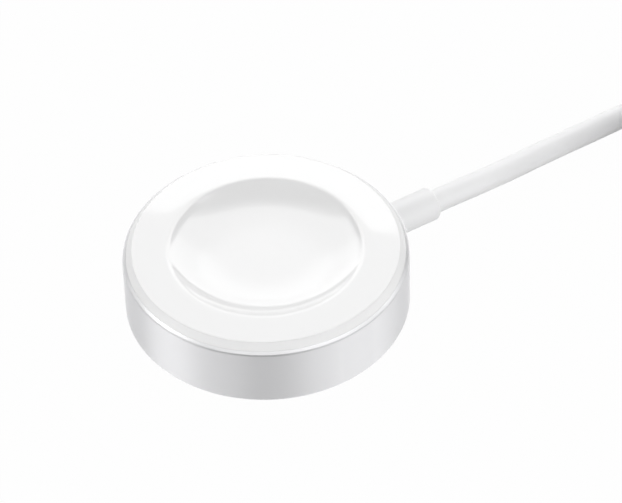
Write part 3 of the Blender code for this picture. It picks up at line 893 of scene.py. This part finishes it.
@dataclass
class Cover:
    """White moulded cover: dish, flat ring, sloping edge and the skirt under it."""

    top: float
    dish_radius: float = 9.80 * MM
    dish_depth: float = 1.25 * MM
    dish_lip: float = 0.50 * MM
    dish_power: float = 3.5
    ring_radius: float = 13.06 * MM
    ring_ease: float = 0.80 * MM
    brim_radius: float = 13.65 * MM
    brim_drop: float = 0.63 * MM
    ring_rounding: float = 0.20 * MM
    brim_rounding: float = 0.015 * MM
    seam_depth: float = 0.04 * MM
    seam_floor: float = 6.24 * MM
    skirt_radius: float = 13.05 * MM
    skirt_bottom: float = 5.60 * MM
    skirt_wall: float = 0.60 * MM
    skirt_rounding: float = 0.05 * MM
    inner_rounding: float = 0.20 * MM
    wall: float = 0.80 * MM
    hold: float = 0.012 * MM
    bowl_steps: int = 30
    lip_steps: int = 16
    under_bowl_steps: int = 10
    under_lip_steps: int = 6
    rounding_steps: int = 6
    sides: int = 256

    def drop(self, radius: float) -> float:
        """Depth of the dish at a radius.

        Args:
            radius: The radius.

        Returns:
            How far the face lies under the flat ring.
        """
        bend = self.dish_radius - self.dish_lip
        steepest = self.dish_depth / (bend / (self.dish_power + 1) + self.dish_lip / 2)
        if radius >= self.dish_radius:
            return 0.0
        if radius >= bend:
            return steepest * (self.dish_radius - radius) ** 2 / (2 * self.dish_lip)
        rise = steepest * bend / (self.dish_power + 1) * (radius / bend) ** (self.dish_power + 1)
        return self.dish_depth - rise

    def dish(self, level: float, bowl_steps: int, lip_steps: int) -> list[Point]:
        """Section of the dish from its middle to its lip.

        Args:
            level: Height of the flat ring.
            bowl_steps: Steps in the bowl.
            lip_steps: Steps in the lip.

        Returns:
            Points of (radius, height).
        """
        bend = self.dish_radius - self.dish_lip
        radii = [bend * math.sqrt(i / bowl_steps) for i in range(bowl_steps)]
        radii += [bend + self.dish_lip * i / lip_steps for i in range(lip_steps + 1)]
        return [(radius, level - self.drop(radius)) for radius in radii]

    def build(self) -> None:
        """Models and dresses the cover."""
        brim = self.top - self.brim_drop
        seam = self.brim_radius - self.seam_depth
        inner = self.skirt_radius - self.skirt_wall
        under = self.top - self.wall
        edge = [
            (self.dish_radius, self.top, 0.0),
            (self.dish_radius + self.ring_ease, self.top, 0.0),
            (self.ring_radius, self.top, self.ring_rounding),
            (self.brim_radius, brim, self.brim_rounding),
            (seam, brim - self.seam_depth, 0.0),
            (seam, self.seam_floor, 0.0),
            (self.skirt_radius, self.seam_floor, 0.0),
            (self.skirt_radius, self.skirt_bottom, self.skirt_rounding),
            (inner, self.skirt_bottom, self.skirt_rounding),
            (inner, under, self.inner_rounding),
            (self.dish_radius, under, 0.0),
        ]
        face = self.dish(self.top, self.bowl_steps, self.lip_steps)
        outline = rounded(edge, self.rounding_steps, self.hold)
        underside = self.dish(under, self.under_bowl_steps, self.under_lip_steps)
        profile = face[:-1] + outline[:-1] + underside[::-1]
        cover = Bench.turned("cover_moulding", profile, self.sides)
        Bench.complete(cover, COVER_GLOSS, "white_gloss", "cover")


@dataclass
class StrainRelief:
    """Moulded sleeve that holds the cable in the wall, with its flange and the inner stub."""

    level: float = 2.90 * MM
    sleeve_end: float = 19.35 * MM
    sleeve_radius: float = 1.70 * MM
    rounding: float = 0.40 * MM
    bore_depth: float = 2.50 * MM
    flange_radius: float = 1.90 * MM
    flange_outside: float = 12.20 * MM
    flange_inside: float = 11.40 * MM
    stub_radius: float = 1.20 * MM
    stub_end: float = 9.90 * MM
    edge: float = 0.06 * MM
    steps: int = 7
    sides: int = 64

    def build(self) -> bpy.types.Object:
        """Models and dresses the relief.

        Returns:
            The piece.
        """
        corners = [
            (0.0, self.sleeve_end - self.bore_depth, 0.0),
            (CABLE_BORE, self.sleeve_end - self.bore_depth, 0.0),
            (CABLE_BORE, self.sleeve_end, self.edge),
            (self.sleeve_radius, self.sleeve_end, self.rounding),
            (self.sleeve_radius, self.flange_outside, 0.0),
            (self.flange_radius, self.flange_outside, self.edge),
            (self.flange_radius, self.flange_inside, self.edge),
            (self.stub_radius, self.flange_inside, 0.0),
            (self.stub_radius, self.stub_end, self.edge),
            (0.0, self.stub_end, 0.0),
        ]
        sleeve = Bench.turned("relief_sleeve", rounded(corners, self.steps), self.sides)
        Bench.turn_to(sleeve, Euler((0.0, math.pi / 2, 0.0)), Vector((0.0, 0.0, self.level)))
        return Bench.complete(sleeve, RELIEF_SKIN, "white_soft", "strain_relief")


@dataclass
class Cable:
    """Round cable: along the table, wound into a coil, and on to the plug."""

    diameter: float = 2.4 * MM
    length: float = 1.0
    exit: tuple[float, float, float] = (0.01935, 0.0, 0.0029)
    coil_radius: float = 13.4 * MM
    pitch: float = 2.45 * MM
    lowest_turn: float = 1.90 * MM
    columns: int = 3
    rows: int = 4
    first_angle: float = 90.0
    slot_sweep: float = 327.5
    shift_sweep: float = 32.5
    knot_sweep: float = 12.0
    spacing: float = 0.9 * MM
    bevel_steps: int = 8

    def first_run(self) -> list[Vector]:
        """Route from inside the relief to the coil.

        Returns:
            The route's points.
        """
        route = [
            (0.0180, 0.0000, 0.00290), (0.0195, 0.0000, 0.00290), (0.0215, 0.0000, 0.00290),
            (0.0240, 0.0000, 0.00285), (0.0270, 0.0002, 0.00260), (0.0305, 0.0007, 0.00210),
            (0.0340, 0.0012, 0.00165), (0.0380, 0.0015, 0.00135), (0.0420, 0.0016, 0.00130),
            (0.0450, 0.0016, 0.00140), (0.0470, 0.0016, 0.00155), (0.0500, 0.00145, 0.00170),
            (0.0530, 0.00138, 0.00182),
        ]
        return [Vector(point) for point in route]

    def last_run(self) -> list[Vector]:
        """Route from the coil to the plug.

        Returns:
            The route's points.
        """
        route = [
            (0.0520, 0.00145, 0.00915), (0.0545, 0.0029, 0.00895), (0.0568, 0.0042, 0.0087),
            (0.0585, 0.0051, 0.0085), (0.0610, 0.0064, 0.0080), (0.0640, 0.0078, 0.0072),
            (0.0670, 0.0089, 0.0063), (0.0700, 0.0094, 0.0053), (0.0734, 0.0087, 0.0044),
            (0.0763, 0.0068, 0.0036), (0.0782, 0.0039, 0.0030), (0.0789, 0.0004, 0.0027),
            (0.0789, -0.0010, 0.0027),
        ]
        return [Vector(point) for point in route]

    def slots(self) -> list[tuple[float, float]]:
        """Places of the turns in the coil's section, in the order in which they are wound.

        Returns:
            Points of (radius, height).
        """
        places = []
        for row in range(self.rows):
            columns = range(self.columns)
            for column in reversed(columns) if row % 2 == 0 else columns:
                radius = self.coil_radius + (column - (self.columns - 1) / 2) * self.pitch
                places.append((radius, self.lowest_turn + row * self.pitch))
        return places

    def turns(self) -> list[Vector]:
        """Points along the coil, which is wound clockwise from the outside.

        Returns:
            The points.
        """
        slots = self.slots()
        total = self.slot_sweep * len(slots)
        points = []
        count = round(total / self.knot_sweep)
        for i in range(count + 1):
            swept = total * i / count
            number = min(int(swept / self.slot_sweep), len(slots) - 1)
            inside = swept - number * self.slot_sweep
            shift = max(0.0, (inside - self.slot_sweep + self.shift_sweep) / self.shift_sweep)
            shift = shift * shift * (3 - 2 * shift)
            following = slots[min(number + 1, len(slots) - 1)]
            radius, height = (a + (b - a) * shift for a, b in zip(slots[number], following))
            angle = math.radians(self.first_angle - swept)
            x = COIL_CENTRE[0] + radius * math.cos(angle)
            y = COIL_CENTRE[1] + radius * math.sin(angle)
            points.append(Vector((x, y, height)))
        return points

    def route(self) -> np.ndarray:
        """One smooth curve through the whole route: a natural cubic spline along its chords.

        Returns:
            Points along the cable, a row for each.
        """
        knots = np.array([tuple(p) for p in self.first_run() + self.turns() + self.last_run()])
        steps = np.linalg.norm(np.diff(knots, axis=0), axis=1)
        at = np.concatenate([[0.0], np.cumsum(steps)])
        count = len(knots)
        system = np.zeros((count, count))
        right = np.zeros((count, 3))
        system[0, 0] = 1.0
        system[-1, -1] = 1.0
        for i in range(1, count - 1):
            system[i, i - 1:i + 2] = (steps[i - 1], 2 * (steps[i - 1] + steps[i]), steps[i])
            slope_after = (knots[i + 1] - knots[i]) / steps[i]
            slope_before = (knots[i] - knots[i - 1]) / steps[i - 1]
            right[i] = 6 * (slope_after - slope_before)
        bend = np.linalg.solve(system, right)
        wanted = np.linspace(0.0, at[-1], round(at[-1] / self.spacing) + 1)
        piece = np.clip(np.searchsorted(at, wanted, side="right") - 1, 0, count - 2)
        span = steps[piece][:, None]
        ahead = (wanted - at[piece])[:, None]
        behind = span - ahead
        return (
            bend[piece] * behind ** 3 / (6 * span)
            + bend[piece + 1] * ahead ** 3 / (6 * span)
            + (knots[piece] / span - bend[piece] * span / 6) * behind
            + (knots[piece + 1] / span - bend[piece + 1] * span / 6) * ahead
        )

    def build(self, pieces: list[bpy.types.Object]) -> None:
        """Args:
            pieces: The pieces on the cable. Not used.
        """
        points = self.route()
        curve = bpy.data.curves.new("charging_cable", "CURVE")
        curve.dimensions = "3D"
        curve.bevel_depth = self.diameter / 2
        curve.bevel_resolution = self.bevel_steps
        curve.use_fill_caps = True
        spline = curve.splines.new("POLY")
        spline.points.add(len(points) - 1)
        spline.points.foreach_set("co", np.hstack([points, np.ones((len(points), 1))]).ravel())
        spline.use_smooth = True
        cable = bpy.data.objects.new("charging_cable", curve)
        bpy.context.scene.collection.objects.link(cable)
        Bench.dress(cable, JACKET)
        Bench.ship(cable, "white_soft", "cord", "cord_coil", "cord_end")
        measured = float(np.linalg.norm(np.diff(points, axis=0), axis=1).sum())
        LOG.info("cable is %.4f m long", measured)


@dataclass
class CoilTie:
    """Soft woven strap round the coil of cable, closed on itself on top."""

    azimuth: float = -60.0
    width: float = 4.0 * MM
    thickness: float = 0.30 * MM
    clearance: float = 0.03 * MM
    inner: float = 9.65 * MM
    outer: float = 17.11 * MM
    bottom: float = 0.62 * MM
    top: float = 10.51 * MM
    corner: float = 1.2 * MM
    ramp: tuple[float, float] = (1.4 * MM, 0.3 * MM)
    ramp_rounding: float = 0.9 * MM
    overlap: float = 5.0 * MM
    edge: float = 0.08 * MM
    edge_steps: int = 2
    corner_steps: int = 6
    thread_steps: int = 8
    sharp_over: float = 40.0

    def loop(self) -> list[Point]:
        """Section of the strap's inner face: once round the bundle, and over itself on top.

        Returns:
            Points of (radius, height).
        """
        middle = (self.inner + self.outer) / 2
        raised = self.top + self.thickness + self.clearance
        corners = [
            (middle, self.top, 0.0),
            (self.outer, self.top, self.corner),
            (self.outer, self.bottom, self.corner),
            (self.inner, self.bottom, self.corner),
            (self.inner, self.top, self.corner),
            (middle - self.ramp[0], self.top, self.ramp_rounding),
            (middle - self.ramp[1], raised, self.ramp_rounding),
            (middle + self.overlap / 2, raised, 0.0),
        ]
        return rounded(corners, self.corner_steps)

    def build(self) -> bpy.types.Object:
        """Models and dresses the strap.

        Returns:
            The piece.
        """
        loop = self.loop()
        start = [Vector((radius, -self.width / 2, height)) for radius, height in loop]
        strap = Bench.line("coil_strap", start)
        bpy.ops.mesh.select_all(action="SELECT")
        for _ in range(self.thread_steps):
            Bench.extrude(0.0, self.width / self.thread_steps, 0.0)
        bpy.ops.object.mode_set(mode="OBJECT")
        Bench.settle()
        self.unwrap(strap, loop)
        Bench.modify(strap, "SOLIDIFY", thickness=self.thickness, offset=self.outward(strap))
        Bench.modify(
            strap, "BEVEL", width=self.edge, segments=self.edge_steps, limit_method="ANGLE"
        )
        place = Vector((*COIL_CENTRE, 0.0))
        Bench.turn_to(strap, Euler((0.0, 0.0, math.radians(self.azimuth))), place)
        return Bench.complete(strap, STRAP, "strap", "coil_tie", degrees=self.sharp_over)

    def outward(self, strap: bpy.types.Object) -> float:
        """Which way Solidify has to go so that the strap grows away from the cable.

        Args:
            strap: The open strip.

        Returns:
            The modifier's offset.
        """
        middle = Vector(((self.inner + self.outer) / 2, 0.0, (self.top + self.bottom) / 2))
        leaning = sum(face.normal.dot(face.center - middle) for face in strap.data.polygons)
        return 1.0 if leaning > 0 else -1.0

    def unwrap(self, strap: bpy.types.Object, loop: list[Point]) -> None:
        """Lays the strip flat in a UV map, in metres.

        Args:
            strap: The open strip.
            loop: The section that it follows.
        """
        lengths = [0.0]
        for (x0, z0), (x1, z1) in zip(loop, loop[1:]):
            lengths.append(lengths[-1] + math.hypot(x1 - x0, z1 - z0))
        places = np.array(loop)
        layer = strap.data.uv_layers.new(name="strip")
        for corner in strap.data.loops:
            point = strap.data.vertices[corner.vertex_index].co
            gaps = np.hypot(places[:, 0] - point.x, places[:, 1] - point.z)
            layer.data[corner.index].uv = (lengths[int(gaps.argmin())], point.y)


@dataclass
class Plug:
    """Plug that lies on the table: boot, body, metal shell, insert and contacts."""

    axis_x: float = 78.9 * MM
    start_y: float = 0.1 * MM
    level: float = 2.7 * MM
    boot_length: float = 4.3 * MM
    boot_bore_depth: float = 1.4 * MM
    boot_mouth: float = 1.50 * MM
    boot_taper: tuple[Point, Point] = ((1.55 * MM, -1.2 * MM), (1.88 * MM, -2.9 * MM))
    boot_end: float = 1.90 * MM
    boot_roundings: tuple[float, float, float] = (0.05 * MM, 0.15 * MM, 1.5 * MM)
    boot_steps: int = 7
    boot_sides: int = 56
    body_size: tuple[float, float, float] = (10.5 * MM, 17.0 * MM, 5.4 * MM)
    body_start: float = -4.2 * MM
    body_flat: float = 0.02 * MM
    body_steps: int = 12
    back_rounding: float = 0.80 * MM
    front_rounding: float = 0.35 * MM
    end_steps: int = 6
    shell_size: tuple[float, float, float] = (8.25 * MM, 6.65 * MM, 2.4 * MM)
    shell_wall: float = 0.30 * MM
    shell_hidden: float = 0.3 * MM
    shell_flat: float = 0.005 * MM
    shell_steps: int = 10
    shell_lip: float = 0.1 * MM
    shell_lip_steps: int = 3
    shell_lip_angle: float = 1.0
    insert_gap: float = 0.06 * MM
    insert_setback: float = 0.35 * MM
    insert_steps: int = 8
    slot_depth: float = 4.8 * MM
    slot_wall: float = 0.30 * MM
    contact_count: int = 12
    contact_pitch: float = 0.5 * MM
    contact_width: float = 0.22 * MM
    contact_thickness: float = 0.06 * MM
    contact_bends: tuple[Point, ...] = (
        (1.6 * MM, 0.0), (3.4 * MM, 0.10 * MM), (4.6 * MM, 0.18 * MM), (5.2 * MM, 0.0),
    )
    facing: float = 0.9
    near: float = 0.01 * MM
    sharp_over: float = 35.0

    def boot(self) -> bpy.types.Object:
        """Models the boot round the cable's end.

        Returns:
            The piece.
        """
        bore_edge, mouth_edge, taper_rounding = self.boot_roundings
        corners = [
            (0.0, -self.boot_bore_depth, 0.0),
            (CABLE_BORE, -self.boot_bore_depth, 0.0),
            (CABLE_BORE, 0.0, bore_edge),
            (self.boot_mouth, 0.0, mouth_edge),
            *((radius, along, taper_rounding) for radius, along in self.boot_taper),
            (self.boot_end, -self.boot_length, 0.0),
            (0.0, -self.boot_length, 0.0),
        ]
        boot = Bench.turned("plug_sleeve", rounded(corners, self.boot_steps), self.boot_sides)
        place = Vector((self.axis_x, self.start_y, self.level))
        Bench.turn_to(boot, Euler((-math.pi / 2, 0.0, 0.0)), place)
        return Bench.complete(boot, RELIEF_SKIN, "white_soft", "plug_boot")

    def box(self, name: str, size: tuple[float, float, float], start_y: float) -> bpy.types.Object:
        """Adds a cube of a size, with its back end at a place along the plug, in edit mode.

        Args:
            name: The object's name.
            size: Its width, length and height.
            start_y: Where its back end is.

        Returns:
            The box.
        """
        Bench.clear()
        place = (self.axis_x, start_y - size[1] / 2, self.level)
        bpy.ops.mesh.primitive_cube_add(size=1.0, location=place, scale=size)
        thing = bpy.context.object
        thing.name = name
        Bench.settle()
        bpy.ops.object.mode_set(mode="EDIT")
        return thing

    def round_sides(self, thing: bpy.types.Object, radius: float, segments: int) -> None:
        """Bevels the four long edges of a box, to a radius and in a number of steps."""
        Bench.select(thing, Pick.EDGES, lambda a, b: abs(a.y - b.y) > MM)
        bpy.ops.mesh.bevel(offset=radius, segments=segments, affect="EDGES")

    def body(self) -> bpy.types.Object:
        """Models the plug's moulded body.

        Returns:
            The piece.
        """
        width, length, height = self.body_size
        middle = length - self.back_rounding - self.front_rounding
        start = self.body_start - self.back_rounding
        body = self.box("plug_moulding", (width, middle, height), start)
        self.round_sides(body, height / 2 - self.body_flat, self.body_steps)
        for way, rounding in ((1, self.back_rounding), (-1, self.front_rounding)):
            Bench.select(body, Pick.FACES, lambda face: face.normal.y * way > self.facing)
            Bench.round_end(rounding, self.end_steps)
        Bench.close()
        return Bench.complete(
            body, PLUG_GLOSS, "white_gloss", "plug_body", degrees=self.sharp_over
        )

    def shell(self) -> bpy.types.Object:
        """Models the drawn metal shell with its turned-in lip.

        Returns:
            The piece.
        """
        width, length, height = self.shell_size
        start = self.body_start - self.body_size[1] + self.shell_hidden
        shell = self.box("plug_tube", (width, length + self.shell_hidden, height), start)
        self.round_sides(shell, height / 2 - self.shell_flat, self.shell_steps)
        Bench.select(shell, Pick.FACES, lambda face: abs(face.normal.y) > self.facing)
        bpy.ops.mesh.delete(type="FACE")
        Bench.close()
        Bench.modify(
            shell, "SOLIDIFY", thickness=self.shell_wall, offset=-1.0, use_even_offset=True
        )
        Bench.modify(
            shell,
            "BEVEL",
            width=self.shell_lip,
            segments=self.shell_lip_steps,
            limit_method="ANGLE",
            angle_limit=self.shell_lip_angle,
        )
        return Bench.complete(shell, STEEL, "steel", "plug_shell", degrees=self.sharp_over)

    def insert(self) -> bpy.types.Object:
        """Models the insert with the slot for the socket's tongue.

        Returns:
            The piece.
        """
        wall = 2 * (self.shell_wall + self.insert_gap)
        width, length, height = self.shell_size
        size = (width - wall, length - self.insert_setback, height - wall)
        start = self.body_start - self.body_size[1]
        insert = self.box("plug_tongue_slot", size, start)
        self.round_sides(insert, size[2] / 2 - self.body_flat, self.insert_steps)
        front = start - size[1] + self.near
        Bench.select(
            insert,
            Pick.FACES,
            lambda face: face.normal.y < -self.facing and face.center.y < front,
        )
        bpy.ops.mesh.inset(thickness=self.slot_wall)
        Bench.extrude(0.0, self.slot_depth, 0.0)
        Bench.close()
        return Bench.complete(
            insert, BLACK_MOULDING, "chip", "plug_insert", degrees=self.sharp_over
        )

    def contact(self, name: str, x: float, side: int) -> bpy.types.Object:
        """Models one spring contact in the slot.

        Args:
            name: The contact's name.
            x: Where it starts across the plug.
            side: One for the upper row, and minus one for the lower.

        Returns:
            The contact.
        """
        start = self.body_start - self.body_size[1]
        opening = self.shell_size[2] / 2 - self.shell_wall - self.insert_gap - self.slot_wall
        line = [
            Vector((x, start - along, self.level + side * (opening - bent)))
            for along, bent in self.contact_bends
        ]
        strip = Bench.line(name, line)
        bpy.ops.mesh.select_all(action="SELECT")
        Bench.extrude(self.contact_width, 0.0, 0.0)
        Bench.close()
        Bench.modify(strip, "SOLIDIFY", thickness=self.contact_thickness, offset=0.0)
        return strip

    def contacts(self) -> bpy.types.Object:
        """Models the two rows of spring contacts, and joins them.

        Returns:
            The piece.
        """
        made = []
        for side in (-1, 1):
            for number in range(self.contact_count):
                x = self.axis_x + (number - (self.contact_count - 1) / 2) * self.contact_pitch
                made.append(self.contact(f"contact_{side}_{number}", x, side))
        Bench.clear()
        for strip in made:
            strip.select_set(True)
        bpy.context.view_layer.objects.active = made[0]
        bpy.ops.object.join()
        contacts = bpy.context.object
        contacts.name = "plug_contacts"
        return Bench.complete(contacts, GOLD, "nickel", degrees=self.sharp_over)

    def build(self) -> list[bpy.types.Object]:
        """Models and dresses every piece of the plug, and gives the pieces back."""
        return [self.boot(), self.body(), self.shell(), self.insert(), self.contacts()]


def direction(azimuth: float, elevation: float) -> Vector:
    """Direction of length one.

    Args:
        azimuth: Its angle from +X about Z, in degrees.
        elevation: Its angle over the table, in degrees.

    Returns:
        The direction.
    """
    turn = math.radians(azimuth)
    rise = math.radians(elevation)
    flat = math.cos(rise)
    return Vector((flat * math.cos(turn), flat * math.sin(turn), math.sin(rise)))


@dataclass(frozen=True)
class Softbox:
    """A soft studio lamp that points at the puck."""

    name: str
    azimuth: float
    elevation: float
    width: float
    height: float
    radiance: float
    roll: float = 0.0
    lit: Lit = Lit.ALL
    distance: float = 0.60
    aim: tuple[float, float, float] = (0.0, 0.0, 0.006)

    def place(self) -> None:
        """Adds the lamp. Its radiance is what a mirror would show."""
        lamp = bpy.data.lights.new(self.name, "AREA")
        lamp.shape = "RECTANGLE"
        lamp.size = self.width
        lamp.size_y = self.height
        lamp.energy = self.radiance * math.pi * self.width * self.height
        holder = bpy.data.objects.new(self.name, lamp)
        bpy.context.scene.collection.objects.link(holder)
        towards = direction(self.azimuth, self.elevation)
        holder.location = Vector(self.aim) + towards * self.distance
        roll = Quaternion((0, 0, 1), math.radians(self.roll))
        holder.rotation_euler = (towards.to_track_quat("Z", "Y") @ roll).to_euler()
        holder.visible_camera = False
        holder.visible_diffuse = self.lit is not Lit.GLOSS
        holder.visible_glossy = self.lit is not Lit.MATT


@dataclass
class Studio:
    """Camera, white floor and backdrop, and soft lamps."""

    camera_aim: tuple[float, float, float] = (0.005157, 0.000119, 0.0035)
    camera_distance: float = 0.3519
    camera_azimuth: float = 59.59
    camera_fall: float = 44.40
    camera_roll: float = -1.713
    camera_reach: tuple[float, float] = (0.01, 20.0)
    sensor: float = 36.0
    lens: float = 207.12
    floor_reach: float = 3.0
    floor_level: float = -0.00002
    floor_colour: float = 0.42
    floor_roughness: float = 0.9
    floor_white: float = 0.985
    floor_sides: int = 96
    backdrop_height: float = 0.32
    world_level: float = 0.06
    lamps: tuple[Softbox, ...] = (
        Softbox("back_lamp", 59.6, 40.0, 0.840, 0.485, 0.97, roll=-5.0),
        Softbox("tall_back_lamp", 59.6, 42.0, 0.800, 0.534, 0.56, roll=-5.0),
        Softbox("tallest_back_lamp", 59.6, 44.5, 0.760, 0.597, 0.41, roll=-5.0),
        Softbox("lower_back_lamp", 59.6, 30.85, 0.840, 0.275, 0.50, roll=-7.0),
        Softbox("ring_lamp", 59.6, 37.0, 0.220, 0.143, 0.45, roll=-7.0),
        Softbox("low_strip", 59.6, 9.0, 0.700, 0.190, 0.90),
        Softbox("back_left_lamp", 131.6, 15.0, 0.240, 0.322, 0.80),
        Softbox("left_lamp", 166.6, 14.0, 0.410, 0.299, 2.95),
        Softbox("front_left_lamp", 202.6, 14.0, 0.390, 0.299, 1.20),
        Softbox("back_right_lamp", -12.4, 15.0, 0.240, 0.322, 1.10),
        Softbox("right_lamp", -43.4, 14.0, 0.437, 0.299, 1.30),
        Softbox("right_glint", -43.4, 14.0, 0.437, 0.299, 2.20, lit=Lit.GLOSS),
        Softbox("high_right_lamp", -50.4, 52.0, 0.470, 0.340, 0.90),
        Softbox("front_right_lamp", -83.4, 14.0, 0.390, 0.299, 1.20),
        Softbox("front_right_glint", -83.4, 14.0, 0.390, 0.299, 1.50, lit=Lit.GLOSS),
        Softbox("front_strip", -120.4, 43.0, 0.640, 0.210, 1.45),
        Softbox("front_glint", -120.4, 43.0, 0.640, 0.210, 0.30, lit=Lit.GLOSS),
        Softbox("front_fill", -104.0, 8.0, 0.800, 0.120, 2.50, lit=Lit.MATT),
        Softbox("high_left_strip", 182.6, 38.0, 0.400, 0.130, 1.00),
        Softbox("high_right_strip", -63.4, 38.0, 0.400, 0.130, 1.00),
    )

    def camera(self) -> None:
        """Places the camera at the photograph's view."""
        forward = direction(self.camera_azimuth, -self.camera_fall)
        data = bpy.data.cameras.new("camera")
        data.lens = self.lens
        data.sensor_width = self.sensor
        data.clip_start, data.clip_end = self.camera_reach
        camera = bpy.data.objects.new("camera", data)
        bpy.context.scene.collection.objects.link(camera)
        camera.location = Vector(self.camera_aim) - forward * self.camera_distance
        roll = Quaternion((0, 0, 1), math.radians(self.camera_roll))
        camera.rotation_mode = "QUATERNION"
        camera.rotation_quaternion = forward.to_track_quat("-Z", "Y") @ roll
        bpy.context.scene.camera = camera

    def seen(self, graph: Graph) -> Value:
        """One for rays that show the background: those of the camera, of gloss and of glass.

        Args:
            graph: The floor's nodes.

        Returns:
            The value.
        """
        rays = graph.node("ShaderNodeLightPath")
        seen = Value(graph, rays.outputs["Is Camera Ray"])
        seen = seen.larger(Value(graph, rays.outputs["Is Glossy Ray"]))
        return seen.larger(Value(graph, rays.outputs["Is Transmission Ray"]))

    def pale(self) -> bpy.types.Material:
        """Makes the material of the floor and the backdrop, white wherever it is seen.

        Returns:
            The material.
        """
        level = self.floor_colour
        graph = Graph("pale_floor", (level, level, level), self.floor_roughness)
        white = graph.node("ShaderNodeEmission", inputs={"Color": WHITE, "Strength": 1.0})
        mix = graph.node("ShaderNodeMixShader", inputs={0: self.seen(graph) * self.floor_white})
        graph.tree.links.new(graph.shader.outputs[0], mix.inputs[1])
        graph.tree.links.new(white.outputs[0], mix.inputs[2])
        output = graph.tree.nodes["Material Output"]
        graph.tree.links.new(mix.outputs[0], output.inputs["Surface"])
        return graph.material

    def floor(self) -> None:
        """Adds a pale floor that keeps a little of the shadow, and a low backdrop round it."""
        material = self.pale()
        round_plan = {"vertices": self.floor_sides, "radius": self.floor_reach}
        Bench.clear()
        place = (0.0, 0.0, self.floor_level)
        bpy.ops.mesh.primitive_circle_add(fill_type="NGON", location=place, **round_plan)
        floor = bpy.context.object
        floor.name = "floor"
        place = (0.0, 0.0, self.floor_level + self.backdrop_height / 2)
        bpy.ops.mesh.primitive_cylinder_add(
            depth=self.backdrop_height, end_fill_type="NOTHING", location=place, **round_plan
        )
        backdrop = bpy.context.object
        backdrop.name = "backdrop"
        for stage in (floor, backdrop):
            stage.data.materials.append(material)

    def world(self) -> None:
        """Gives the studio its even fill light."""
        world = bpy.data.worlds.new("studio")
        world.use_nodes = True
        fill = world.node_tree.nodes["Background"]
        fill.inputs["Color"].default_value = WHITE
        fill.inputs["Strength"].default_value = self.world_level
        bpy.context.scene.world = world

    def build(self) -> None:
        """Sets up the whole studio."""
        bpy.context.scene.view_settings.view_transform = "Standard"
        self.camera()
        self.floor()
        self.world()
        for lamp in self.lamps:
            lamp.place()


def dress_inner_nodes(nodes: dict[str, bpy.types.Object]) -> None:
    """Gives the sealed inner pieces their finishes.

    Args:
        nodes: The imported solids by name.
    """
    for finish, names in INNER_FINISHES.items():
        for name in names:
            Bench.dress(nodes[name], finish)
            LOG.info("%s dressed", name)


def main() -> None:
    """Builds the studio and every piece."""
    logging.basicConfig(level=logging.INFO, format="%(message)s")
    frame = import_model()
    Studio().build()
    relief = StrainRelief().build()
    tie = CoilTie().build()
    plug = Plug().build()
    Cable().build([relief, tie, *plug])
    Housing(radius=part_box("housing")[1].x).build()
    Cover(top=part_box("cover")[1].z).build()
    dress_inner_nodes(frame["nodes"])
    Bench.clear()


if __name__ == "__main__":
    main()
